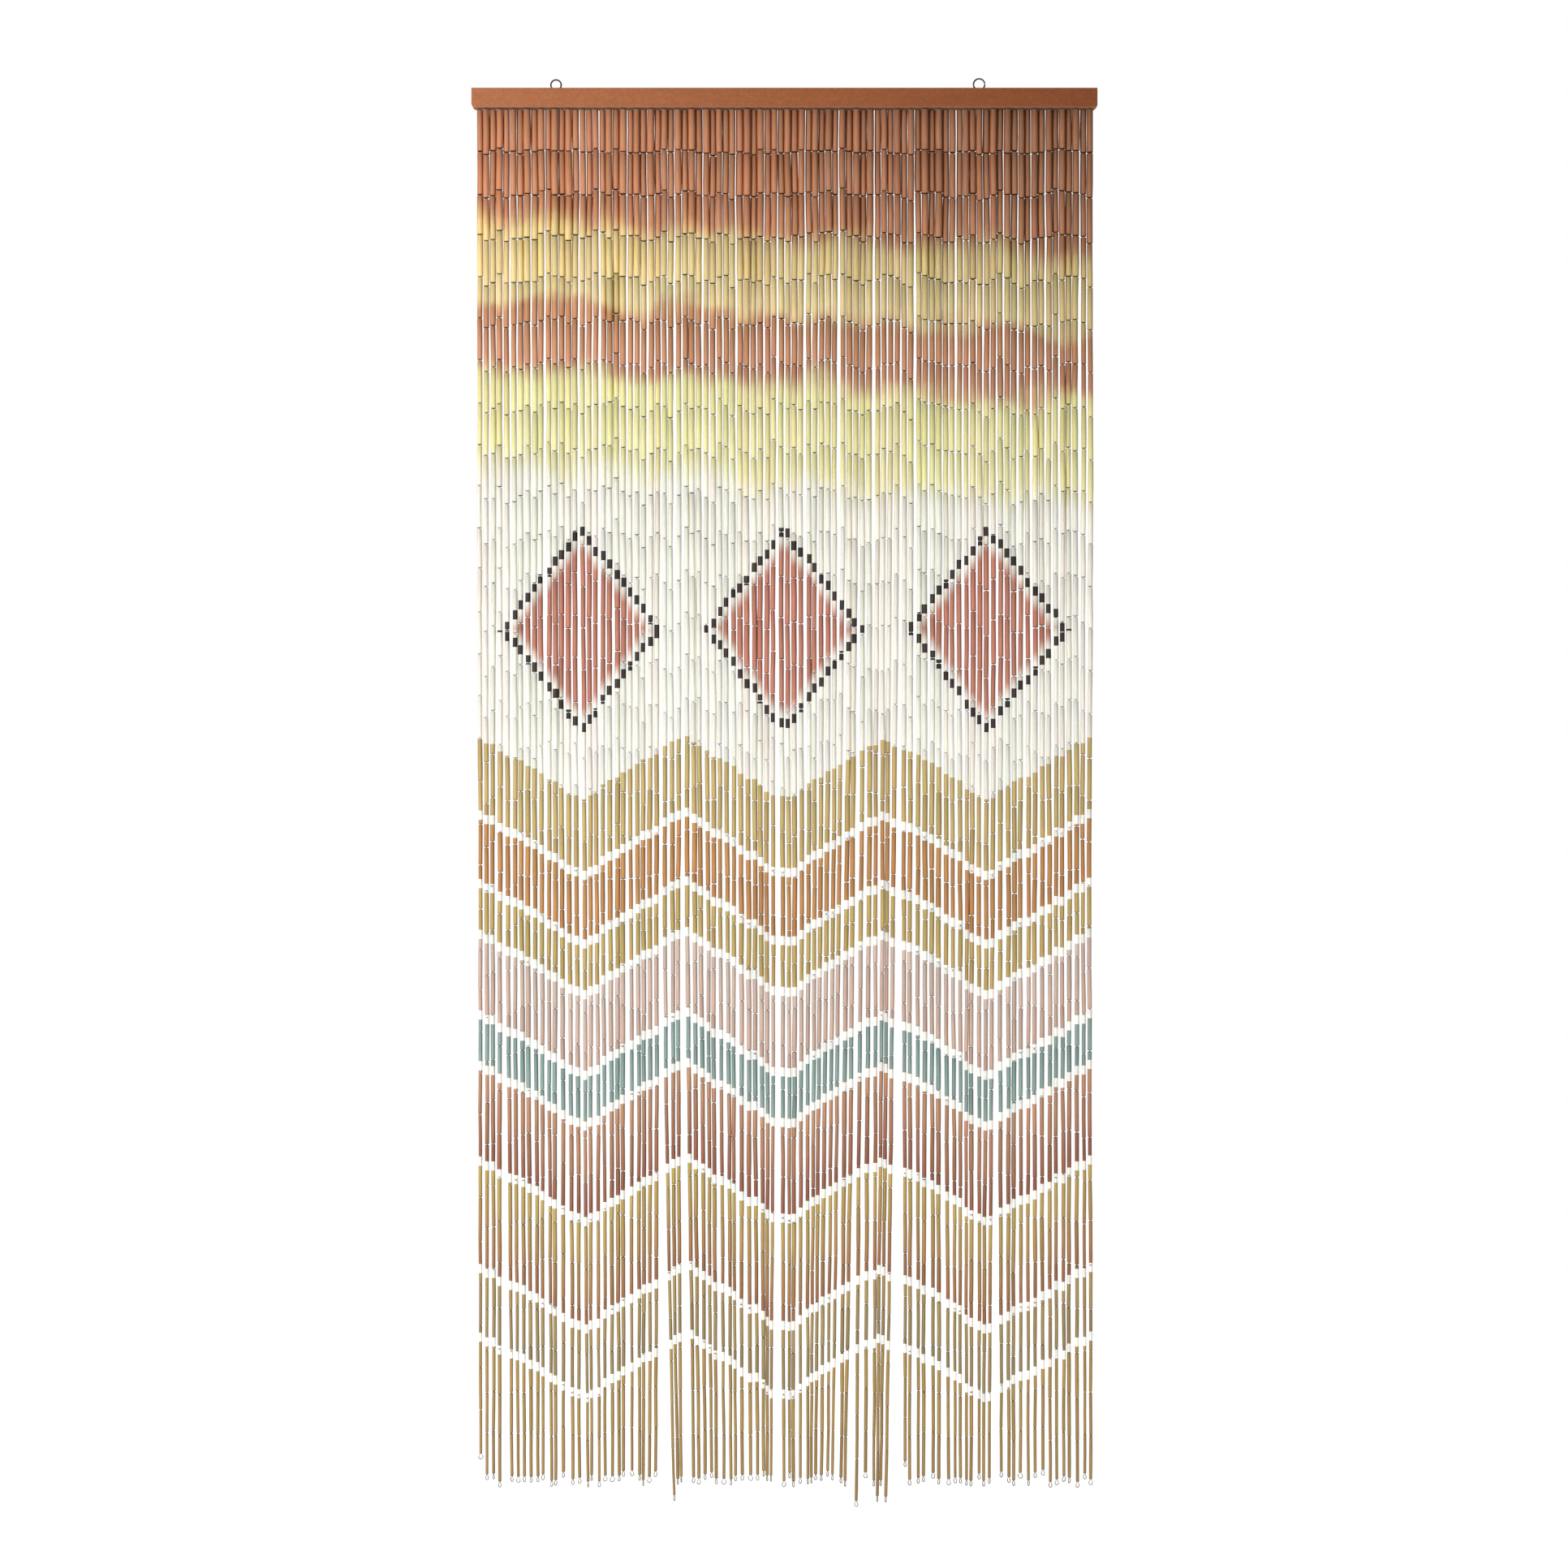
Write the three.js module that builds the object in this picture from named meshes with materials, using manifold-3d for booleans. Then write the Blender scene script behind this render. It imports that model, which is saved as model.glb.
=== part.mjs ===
// Bamboo bead curtain: ninety strands of bamboo tube beads on wire, hung side by side
// under a wooden header rail that hangs from two screw eyes.
// Millimetres, +Z up, +X to the right seen from the front, the front faces -Y.
// The origin is at the middle of the rail's length and depth, level with the eyes' rings.
import * as THREE from "three";
import { mergeVertices } from "three/addons/utils/BufferGeometryUtils.js";
import Module from "manifold-3d";

const solids = await Module();
solids.setup();

// Gap between pieces that touch
const SEAT_GAP = 0.3;
// Points of one piece closer than this are one point
const SAME_POINT = 1e-4;

// Header rail
const RAIL_LENGTH = 900;
const RAIL_HEIGHT = 28;
const RAIL_DEPTH = 20;
const RAIL_TOP = -6.5;
const RAIL_EDGE = 0.8; // the sharp edge taken off all round with sandpaper
const RAIL_LEFT_CORNER = 5; // radius of the rounded lower left corner
const RAIL_RIGHT_CORNER = 2.5; // cut of the clipped lower right corner
const CORNER_STEPS = 5;

// Screw eyes. across: outside width of the ring, above: how far it stands over the rail,
// split: open cut in the ring's right side, none where the wire's end is in the wood.
const EYES = [
  { name: "screw_eye_left", x: -329, across: 17.2, above: 14.7, split: 0 },
  { name: "screw_eye_right", x: 280.5, across: 18.6, above: 16.3, split: 0.8 },
];
const EYE_WIRE = 2.3;
const RING_STEPS = 28;
const WIRE_SIDES = 8;
const SHANK_WIDTH = 2.8;
const SHANK_LENGTH = 14;
const SHANK_POINT = 4;
const SHANK_NECK = 0.9; // width of the shank inside the ring, as a share of the wire's
const SHANK_SIDES = 12;

// Row of wire hooks under the rail, as one narrow strip
const STRIP_HEIGHT = 2.4;
const STRIP_DEPTH = 3;
const ROOT_OVERLAP = 0.6; // how far a strand reaches up into the strip

// Strands, numbered from 1 at the left
const STRAND_COUNT = 90;
const STRAND_ROW_WIDTH = 879; // from the first strand's middle to the last one's
const STRAND_DROP = 2004; // from the rail's top to the bottom of a middling end loop
const DROP_SPREAD = 9; // how much longer or shorter a strand may be
const STRAND_SIDES = 4;
const STRAND_STEPS = 6;
const STAGGER = 1; // odd strands hang this far back, even ones this far forward
const STAGGER_SHARE = 0.25; // share of the drop over which they part
const END_SPREAD = 2.2; // how far a strand's end strays from its group's lean
const CLOSEST_ENDS = 5; // closest that two neighbouring ends hang
const WANDER = 1; // how far a strand wavers sideways halfway down
const WANDER_WAVES = 1.4;

// Width of the bamboo tubes at shares of the drop, thick at the top and thin at the end
const TUBE_WIDTHS = [
  { share: 0, width: 8.9 },
  { share: 0.16, width: 7.7 },
  { share: 0.75, width: 5.9 },
  { share: 1, width: 4.3 },
];

// Strands that lean together at their lower ends. first, last: their numbers,
// start, finish: how far the first and the last one's end lies to the right of its
// own place, bend: 2 where the lean starts high up, 4 where it is all low down.
const LEANS = [
  { first: 1, last: 4, start: 1, finish: 1, bend: 2 },
  { first: 5, last: 11, start: 6, finish: 5, bend: 2 },
  { first: 12, last: 16, start: 1, finish: 9, bend: 2 },
  { first: 17, last: 24, start: 3, finish: 2, bend: 2 },
  { first: 25, last: 27, start: -4.5, finish: -1.5, bend: 2 },
  { first: 28, last: 30, start: 12.5, finish: 4.6, bend: 4 },
  { first: 31, last: 36, start: 12, finish: 6, bend: 2 },
  { first: 37, last: 42, start: 5, finish: 4, bend: 2 },
  { first: 43, last: 44, start: -2, finish: -4.5, bend: 2 },
  { first: 45, last: 49, start: 3, finish: -3, bend: 2 },
  { first: 50, last: 56, start: -8, finish: -15.5, bend: 2 },
  { first: 57, last: 59, start: -9.5, finish: -5, bend: 2 },
  { first: 60, last: 62, start: -11.5, finish: -19, bend: 2 },
  { first: 63, last: 68, start: -1, finish: 0, bend: 2 },
  { first: 69, last: 76, start: 5, finish: -5, bend: 2 },
  { first: 77, last: 90, start: 0, finish: 3, bend: 2 },
];

// Strands that are plainly longer or shorter than the rest
const ODD_DROPS = [
  { number: 1, longer: -24 },
  { number: 28, longer: 27 },
  { number: 30, longer: 10 },
  { number: 32, longer: 12 },
  { number: 57, longer: 34 },
  { number: 60, longer: 22 },
  { number: 62, longer: 30 },
  { number: 63, longer: -17 },
];

// End loops
const LOOP_ACROSS = 8;
const LOOP_WIRE = 1.2;
const LOOP_STEPS = 5;
const LOOP_SIDES = 3;
const LOOP_OVERLAP = 0.8; // how far a loop reaches up into its last tube
const LOOP_ROOM = 0.6; // what a loop leaves free beside its neighbours
const NARROWEST_LOOP = 0.2; // share of its width that a loop turned edge-on shows
const TURNED_LOOP = 0.5; // share of the free width that a turned loop takes at least

// Factors that spread the chance numbers
const CHANCE_STEP = 12.9898;
const CHANCE_TRAIT_STEP = 78.233;
const CHANCE_SPREAD = 43758.5453;

// Places worked out from these sizes
const RAIL_BOTTOM = RAIL_TOP - RAIL_HEIGHT;
const STRIP_BOTTOM = RAIL_BOTTOM - SEAT_GAP - STRIP_HEIGHT;
const STRAND_TOP = STRIP_BOTTOM + ROOT_OVERLAP;
const STRAND_PITCH = STRAND_ROW_WIDTH / (STRAND_COUNT - 1);

const RUST_PAINT = new THREE.MeshStandardMaterial({ color: "#a9683f", roughness: 0.6 });
const BAMBOO_PAINT = new THREE.MeshStandardMaterial({ color: "#c08a54", roughness: 0.55 });
const PLATED_STEEL = new THREE.MeshStandardMaterial({
  color: "#7d756f",
  roughness: 0.35,
  metalness: 1,
});

// A closed geometry as a solid that can be joined and cut.
function solidOf(geometry) {
  const bare = geometry.index ? geometry.toNonIndexed() : geometry.clone();
  bare.deleteAttribute("normal");
  bare.deleteAttribute("uv");
  const merged = mergeVertices(bare, SAME_POINT);
  return new solids.Manifold(
    new solids.Mesh({
      numProp: 3,
      vertProperties: merged.attributes.position.array,
      triVerts: new Uint32Array(merged.index.array),
    }),
  );
}

// A solid as a named mesh.
function namedMesh(name, solid, material) {
  const { vertProperties, triVerts } = solid.getMesh();
  const geometry = new THREE.BufferGeometry();
  geometry.setAttribute("position", new THREE.BufferAttribute(vertProperties, 3));
  geometry.setIndex(new THREE.BufferAttribute(triVerts, 1));
  geometry.computeVertexNormals();
  const mesh = new THREE.Mesh(geometry, material);
  mesh.name = name;
  return mesh;
}

// Height of the middle of an eye's ring.
function ringHeight(eye) {
  return RAIL_TOP + eye.above - eye.across / 2;
}

// A ring on a pointed shank, round its own ring's middle. spare makes it fatter all over.
function screwEye(eye, spare) {
  const ringRadius = (eye.across - EYE_WIRE) / 2;
  const wireRadius = EYE_WIRE / 2 + spare;
  const ring = new THREE.TorusGeometry(ringRadius, wireRadius, WIRE_SIDES, RING_STEPS);
  ring.rotateX(Math.PI / 2);
  const shankRadius = SHANK_WIDTH / 2 + spare;
  const tip = -ringRadius - SHANK_LENGTH - spare;
  const outline = [
    new THREE.Vector2(0, tip),
    new THREE.Vector2(shankRadius, tip + SHANK_POINT),
    new THREE.Vector2(shankRadius, -ringRadius - wireRadius),
    new THREE.Vector2(wireRadius * SHANK_NECK, -ringRadius),
    new THREE.Vector2(0, -ringRadius),
  ];
  const shank = new THREE.LatheGeometry(outline, SHANK_SIDES);
  shank.rotateX(Math.PI / 2);
  const joined = solidOf(ring).add(solidOf(shank));
  if (eye.split === 0) return joined;
  const cut = new THREE.BoxGeometry(2 * EYE_WIRE, 2 * EYE_WIRE, eye.split);
  cut.translate(ringRadius, 0, 0);
  return joined.subtract(solidOf(cut));
}

// The batten, with its lower corners eased and a seat for each screw eye.
function headerRail() {
  const left = -RAIL_LENGTH / 2 + RAIL_EDGE;
  const right = RAIL_LENGTH / 2 - RAIL_EDGE;
  const top = RAIL_TOP - RAIL_EDGE;
  const bottom = RAIL_BOTTOM + RAIL_EDGE;
  const cornerX = left + RAIL_LEFT_CORNER;
  const cornerZ = bottom + RAIL_LEFT_CORNER;
  const outline = new THREE.Shape();
  outline.moveTo(left, top);
  outline.lineTo(left, cornerZ);
  outline.absarc(cornerX, cornerZ, RAIL_LEFT_CORNER, Math.PI, 1.5 * Math.PI, false);
  outline.lineTo(right - RAIL_RIGHT_CORNER, bottom);
  outline.lineTo(right, bottom + RAIL_RIGHT_CORNER);
  outline.lineTo(right, top);
  outline.closePath();
  const batten = new THREE.ExtrudeGeometry(outline, {
    depth: RAIL_DEPTH - 2 * RAIL_EDGE,
    bevelThickness: RAIL_EDGE,
    bevelSize: RAIL_EDGE,
    bevelSegments: 1,
    curveSegments: CORNER_STEPS,
  });
  batten.translate(0, 0, RAIL_EDGE - RAIL_DEPTH / 2);
  batten.rotateX(Math.PI / 2);
  let rail = solidOf(batten);
  for (const eye of EYES) {
    rail = rail.subtract(screwEye(eye, SEAT_GAP).translate([eye.x, 0, ringHeight(eye)]));
  }
  return rail;
}

// Which trait of a strand a chance number is drawn for
const TRAIT = { end: 1, drop: 2, wander: 3, turn: 4 };

// A repeatable number from 0 to 1 for a trait of a strand.
function chance(number, trait) {
  const wave = Math.sin(number * CHANCE_STEP + trait * CHANCE_TRAIT_STEP) * CHANCE_SPREAD;
  return wave - Math.floor(wave);
}

// A strand's own place along the rail.
function placeOf(number) {
  return (number - 1) * STRAND_PITCH - STRAND_ROW_WIDTH / 2;
}

function leanOf(number) {
  return LEANS.find((lean) => number <= lean.last);
}

// Where each strand's end hangs: its place, its group's lean and some chance, but never
// closer than CLOSEST_ENDS to the end before it.
function hangingEnds() {
  const ends = [];
  for (let number = 1; number <= STRAND_COUNT; number += 1) {
    const { first, last, start, finish } = leanOf(number);
    const lean = THREE.MathUtils.mapLinear(number, first, last, start, finish);
    const stray = (2 * chance(number, TRAIT.end) - 1) * END_SPREAD;
    const before = ends.length === 0 ? -Infinity : ends[ends.length - 1];
    ends.push(Math.max(placeOf(number) + lean + stray, before + CLOSEST_ENDS));
  }
  return ends;
}

const ENDS = hangingEnds();

// Height of the end of a strand's last tube.
function endHeight(number) {
  const odd = ODD_DROPS.find((row) => row.number === number);
  const spread = (2 * chance(number, TRAIT.drop) - 1) * DROP_SPREAD;
  const drop = STRAND_DROP + spread + (odd ? odd.longer : 0);
  return RAIL_TOP - drop + LOOP_ACROSS - LOOP_OVERLAP;
}

// The middle of a strand at a share of its drop, from 0 at the rail to 1 at its last tube's end.
function strandMiddle(number, share) {
  const lean = (ENDS[number - 1] - placeOf(number)) * share ** leanOf(number).bend;
  const wave = Math.sin(2 * Math.PI * (WANDER_WAVES * share + chance(number, TRAIT.wander)));
  const wander = WANDER * wave * Math.sin(Math.PI * share);
  const side = number % 2 === 0 ? -STAGGER : STAGGER;
  return new THREE.Vector3(
    placeOf(number) + lean + wander,
    side * Math.min(1, share / STAGGER_SHARE),
    THREE.MathUtils.lerp(STRAND_TOP, endHeight(number), share),
  );
}

function tubeWidth(share) {
  const next = Math.max(1, TUBE_WIDTHS.findIndex((row) => share <= row.share));
  const above = TUBE_WIDTHS[next - 1];
  const below = TUBE_WIDTHS[next];
  return THREE.MathUtils.mapLinear(share, above.share, below.share, above.width, below.width);
}

// One string of tubes, as a four-sided tapering bar that follows the strand's hang.
function strandBar(number) {
  const bar = new THREE.CylinderGeometry(0.5, 0.5, 1, STRAND_SIDES, STRAND_STEPS);
  const points = bar.getAttribute("position");
  for (let i = 0; i < points.count; i += 1) {
    const share = 0.5 - points.getY(i);
    const middle = strandMiddle(number, share);
    const width = tubeWidth(share);
    const x = middle.x + points.getX(i) * width;
    const y = middle.y - points.getZ(i) * width;
    points.setXYZ(i, x, y, middle.z);
  }
  return solidOf(bar);
}

// The wire loop that keeps the last tube on, turned edge-on where its neighbours are close.
function endLoop(number) {
  const end = strandMiddle(number, 1);
  const before = ENDS[number - 1] - (ENDS[number - 2] ?? -Infinity);
  const after = (ENDS[number] ?? Infinity) - ENDS[number - 1];
  const free = (Math.min(before, after) - LOOP_WIRE - LOOP_ROOM) / LOOP_ACROSS;
  const turned = THREE.MathUtils.lerp(TURNED_LOOP, 1, chance(number, TRAIT.turn));
  const ringRadius = (LOOP_ACROSS - LOOP_WIRE) / 2;
  const loop = new THREE.TorusGeometry(ringRadius, LOOP_WIRE / 2, LOOP_SIDES, LOOP_STEPS);
  loop.rotateZ(Math.PI / 2);
  loop.rotateX(Math.PI / 2);
  loop.rotateZ(Math.acos(Math.max(NARROWEST_LOOP, Math.min(1, free) * turned)));
  loop.translate(end.x, end.y, end.z + LOOP_OVERLAP - LOOP_ACROSS / 2);
  return solidOf(loop);
}

// All strands, fused at their roots to the strip that stands for the row of hooks.
function beadStrands() {
  const width = STRAND_ROW_WIDTH + TUBE_WIDTHS[0].width;
  const strip = new THREE.BoxGeometry(width, STRIP_DEPTH, STRIP_HEIGHT);
  strip.translate(0, 0, STRIP_BOTTOM + STRIP_HEIGHT / 2);
  const pieces = [solidOf(strip)];
  for (let number = 1; number <= STRAND_COUNT; number += 1) {
    pieces.push(strandBar(number), endLoop(number));
  }
  return solids.Manifold.union(pieces);
}

const curtain = new THREE.Group();
curtain.add(namedMesh("header_rail", headerRail(), RUST_PAINT));
curtain.add(namedMesh("bead_strands", beadStrands(), BAMBOO_PAINT));
for (const eye of EYES) {
  const mesh = namedMesh(eye.name, screwEye(eye, 0), PLATED_STEEL);
  mesh.position.set(eye.x, 0, ringHeight(eye));
  curtain.add(mesh);
}

export default curtain;
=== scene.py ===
"""Looks of a bamboo bead curtain on a wooden header rail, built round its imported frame.

Lengths are metres with +Z up, +X to the right seen from the front, and the front faces -Y.
Ninety strands of bamboo tubes on wire links hang from a wire stapled under the rail, and
each ends in a small wire loop. Two screw eyes on top of the rail hold the curtain up.
"""

from __future__ import annotations

import logging
import math
from dataclasses import dataclass, field
from enum import Enum
from typing import Callable, Sequence, Union

import bmesh
import bpy
import numpy as np
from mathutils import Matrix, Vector

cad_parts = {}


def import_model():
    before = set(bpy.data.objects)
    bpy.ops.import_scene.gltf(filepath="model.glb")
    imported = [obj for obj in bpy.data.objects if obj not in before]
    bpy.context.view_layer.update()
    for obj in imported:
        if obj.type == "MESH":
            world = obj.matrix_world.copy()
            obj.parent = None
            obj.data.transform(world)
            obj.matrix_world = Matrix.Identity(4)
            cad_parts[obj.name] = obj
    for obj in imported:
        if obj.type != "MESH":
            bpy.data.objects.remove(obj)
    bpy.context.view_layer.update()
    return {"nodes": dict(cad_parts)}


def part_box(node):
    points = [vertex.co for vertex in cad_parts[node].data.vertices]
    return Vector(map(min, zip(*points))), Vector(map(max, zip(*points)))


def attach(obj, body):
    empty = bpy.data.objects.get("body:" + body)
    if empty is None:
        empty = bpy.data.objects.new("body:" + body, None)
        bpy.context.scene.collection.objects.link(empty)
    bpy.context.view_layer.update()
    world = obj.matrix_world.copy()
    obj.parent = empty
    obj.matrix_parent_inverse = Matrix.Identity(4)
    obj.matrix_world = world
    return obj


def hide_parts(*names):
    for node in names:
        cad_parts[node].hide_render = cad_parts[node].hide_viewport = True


Piece = bpy.types.Object
Tree = bpy.types.NodeTree
Node = bpy.types.Node
Feed = Union[bpy.types.Node, bpy.types.NodeSocket]

LOG = logging.getLogger("bead_curtain")
MM = 0.001
BODY = "root"
STRANDS_NODE = "bead_strands"
RAIL_NODE = "header_rail"
# Share of a face's normal along an axis from which the face counts as facing that way.
FACING = 0.9
QUARTER_TURN = math.pi / 2
FULL_TURN = 2 * math.pi
WHITE = "#ffffff"
BLACK = "#000000"
# What spreads the strands' chance numbers, with the same values as in the solids
CHANCE_STEP = 12.9898
CHANCE_TRAIT_STEP = 78.233
CHANCE_SPREAD = 43758.5453


class Slot(Enum):
    """Material slots of the record for the new pieces."""

    BAMBOO = "bamboo"
    STEEL_WIRE = "steel_wire"


class TubeForm(Enum):
    """How a bamboo tube grew."""

    STRAIGHT = 0
    BOWED = 1
    KNUCKLED = 2


class Trait(Enum):
    """What a strand's own chance numbers are drawn for."""

    END = 1
    DROP = 2
    WANDER = 3
    LOOP_SHOWN = 4
    PAINT = 5
    SIDE = 6
    LOOP_FORM = 7


# Small helpers for meshes


def leave_nothing_selected() -> None:
    """Deselects every object, so that an operator acts on new pieces alone."""
    if bpy.context.object and bpy.context.object.mode != "OBJECT":
        bpy.ops.object.mode_set(mode="OBJECT")
    bpy.ops.object.select_all(action="DESELECT")


def select_only(pieces: Sequence[Piece]) -> None:
    """Selects some pieces and nothing else, and makes the first of them active.

    Args:
        pieces: The objects.
    """
    leave_nothing_selected()
    for piece in pieces:
        piece.select_set(True)
    bpy.context.view_layer.objects.active = pieces[0]


def edit(piece: Piece) -> None:
    """Opens a piece in edit mode, with nothing else selected."""
    select_only([piece])
    bpy.ops.object.mode_set(mode="EDIT")


def pick(piece: Piece, kind: str, wanted: Callable[..., bool]) -> None:
    """Selects the parts of a piece in edit mode that pass a test, and no others.

    Args:
        piece: The mesh object that is open in edit mode.
        kind: VERT, EDGE or FACE.
        wanted: Says of one vertex, edge or face whether it is taken.
    """
    bpy.ops.mesh.select_mode(type=kind)
    bpy.ops.mesh.select_all(action="DESELECT")
    mesh = bmesh.from_edit_mesh(piece.data)
    parts = {"VERT": mesh.verts, "EDGE": mesh.edges, "FACE": mesh.faces}[kind]
    for part in filter(wanted, parts):
        part.select_set(True)
    mesh.select_flush_mode()
    bmesh.update_edit_mesh(piece.data)


def close_edit(piece: Piece, name: str) -> Piece:
    """Leaves edit mode, puts the piece's place into its mesh and names it.

    Args:
        piece: The mesh object that was open.
        name: Its new name.

    Returns:
        The same object.
    """
    bpy.ops.object.mode_set(mode="OBJECT")
    select_only([piece])
    bpy.ops.object.transform_apply(location=True, rotation=True, scale=True)
    piece.name = name
    piece.data.name = name
    return piece


def join(pieces: Sequence[Piece], name: str) -> Piece:
    """Joins pieces into the first of them.

    Args:
        pieces: The mesh objects.
        name: The name of the joined object.

    Returns:
        The joined object.
    """
    select_only(pieces)
    bpy.ops.object.join()
    pieces[0].name = name
    pieces[0].data.name = name
    return pieces[0]


def remove(pieces: Sequence[Piece]) -> None:
    """Deletes pieces that were only modelled to be copied."""
    for piece in pieces:
        bpy.data.objects.remove(piece)


def read(items: bpy.types.bpy_prop_collection, name: str, kind: type, each: int = 1) -> np.ndarray:
    """Reads one property of all the parts of a mesh.

    Args:
        items: The mesh's points, corners or faces.
        name: The property.
        kind: The type of its numbers.
        each: How many numbers a part has.

    Returns:
        The numbers, in one row.
    """
    values = np.empty(len(items) * each, dtype=kind)
    items.foreach_get(name, values)
    return values


def lay_copies(
    name: str, model: Piece, origins: np.ndarray, axes: np.ndarray
) -> tuple[Piece, np.ndarray]:
    """Lays copies of one modelled piece, each with its own mesh, as one joined object.

    Args:
        name: The joined object's name.
        model: The modelled piece, round its own origin.
        origins: Where each copy's origin goes, one row a copy.
        axes: Three columns a copy, the piece's own X, Y and Z with their scales.

    Returns:
        The joined object, and the model's own points, one row a point.
    """
    source = model.data
    points = read(source.vertices, "co", float, 3).reshape(-1, 3)
    corners = read(source.loops, "vertex_index", np.int32)
    starts = read(source.polygons, "loop_start", np.int32)
    smooth = read(source.polygons, "use_smooth", bool)
    count = len(origins)
    steps = np.arange(count, dtype=np.int32)[:, None]
    placed = np.einsum("nij,vj->nvi", axes, points) + origins[:, None, :]
    mesh = bpy.data.meshes.new(name)
    mesh.vertices.add(count * len(points))
    mesh.vertices.foreach_set("co", placed.ravel())
    mesh.loops.add(count * len(corners))
    mesh.loops.foreach_set("vertex_index", (corners[None, :] + steps * len(points)).ravel())
    mesh.polygons.add(count * len(starts))
    mesh.polygons.foreach_set("loop_start", (starts[None, :] + steps * len(corners)).ravel())
    mesh.polygons.foreach_set("use_smooth", np.tile(smooth, count))
    mesh.update(calc_edges=True)
    piece = bpy.data.objects.new(name, mesh)
    bpy.context.scene.collection.objects.link(piece)
    return piece, points


def dress(piece: Piece, material: bpy.types.Material, slot: Slot) -> None:
    """Gives a piece its finish, and lets it ride on the curtain's body.

    Args:
        piece: The finished piece.
        material: Its finish.
        slot: Its material slot; not used.
    """
    piece.data.materials.clear()
    piece.data.materials.append(material)
    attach(piece, BODY)
    LOG.info("%s has %d faces", piece.name, len(piece.data.polygons))


# Small helpers for materials


def to_linear(code: str) -> tuple[float, float, float, float]:
    """Turns an sRGB hex colour to a linear one.

    Args:
        code: The colour, such as #c08a54.

    Returns:
        Red, green, blue and alpha.
    """
    values = [int(code[i : i + 2], 16) / 255 for i in (1, 3, 5)]
    red, green, blue = (v / 12.92 if v <= 0.04045 else ((v + 0.055) / 1.055) ** 2.4 for v in values)
    return red, green, blue, 1.0


def add(
    tree: Tree,
    kind: str,
    inputs: dict[int | str, object] | None = None,
    stops: Sequence[tuple[float, str]] = (),
    **settings: object,
) -> Node:
    """Adds a shader node with its settings, values and links.

    Args:
        tree: The node tree.
        kind: The node's type, without the ShaderNode that each of them starts with.
        inputs: Sockets by name or number, each with a value, an sRGB hex colour, or the
            socket or node that feeds it. A node feeds it from its first output in use.
        stops: A colour ramp's positions from 0 to 1 and sRGB hex colours, in order.
        settings: Properties of the node by name.

    Returns:
        The new node.
    """
    node = tree.nodes.new("ShaderNode" + kind)
    for name, value in settings.items():
        setattr(node, name, value)
    if stops:
        elements = node.color_ramp.elements
        elements.remove(elements[1])
        elements[0].position = stops[0][0]
        elements[0].color = to_linear(stops[0][1])
        for position, code in stops[1:]:
            elements.new(position).color = to_linear(code)
    for key, value in (inputs or {}).items():
        if isinstance(value, bpy.types.Node):
            value = next(output for output in value.outputs if output.enabled)
        if isinstance(value, bpy.types.NodeSocket):
            tree.links.new(value, node.inputs[key])
        else:
            node.inputs[key].default_value = to_linear(value) if isinstance(value, str) else value
    return node


def new_material(name: str) -> tuple[bpy.types.Material, Tree]:
    """Makes an empty node material.

    Args:
        name: The finish's name.

    Returns:
        The material and its node tree.
    """
    material = bpy.data.materials.new(name)
    material.use_nodes = True
    material.node_tree.nodes.clear()
    return material, material.node_tree


# Finishes


@dataclass(frozen=True)
class Fade:
    """How a Map Range node turns one range of values into another.

    Attributes:
        start: Where the first range starts.
        end: Where it ends.
        first: What the start turns into.
        last: What the end turns into.
    """

    start: float
    end: float
    first: float = 0.0
    last: float = 1.0

    def of(self, value: Feed) -> dict[int | str, object]:
        """Gives the node's inputs for the value that it turns."""
        return {0: value, 1: self.start, 2: self.end, 3: self.first, 4: self.last}


@dataclass(frozen=True)
class Band:
    """One painted band below the cream ground.

    Attributes:
        upper: Colour at its upper edge.
        lower: Colour at its lower edge.
        height: How tall it is, in metres.
    """

    upper: str
    lower: str
    height: float


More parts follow.
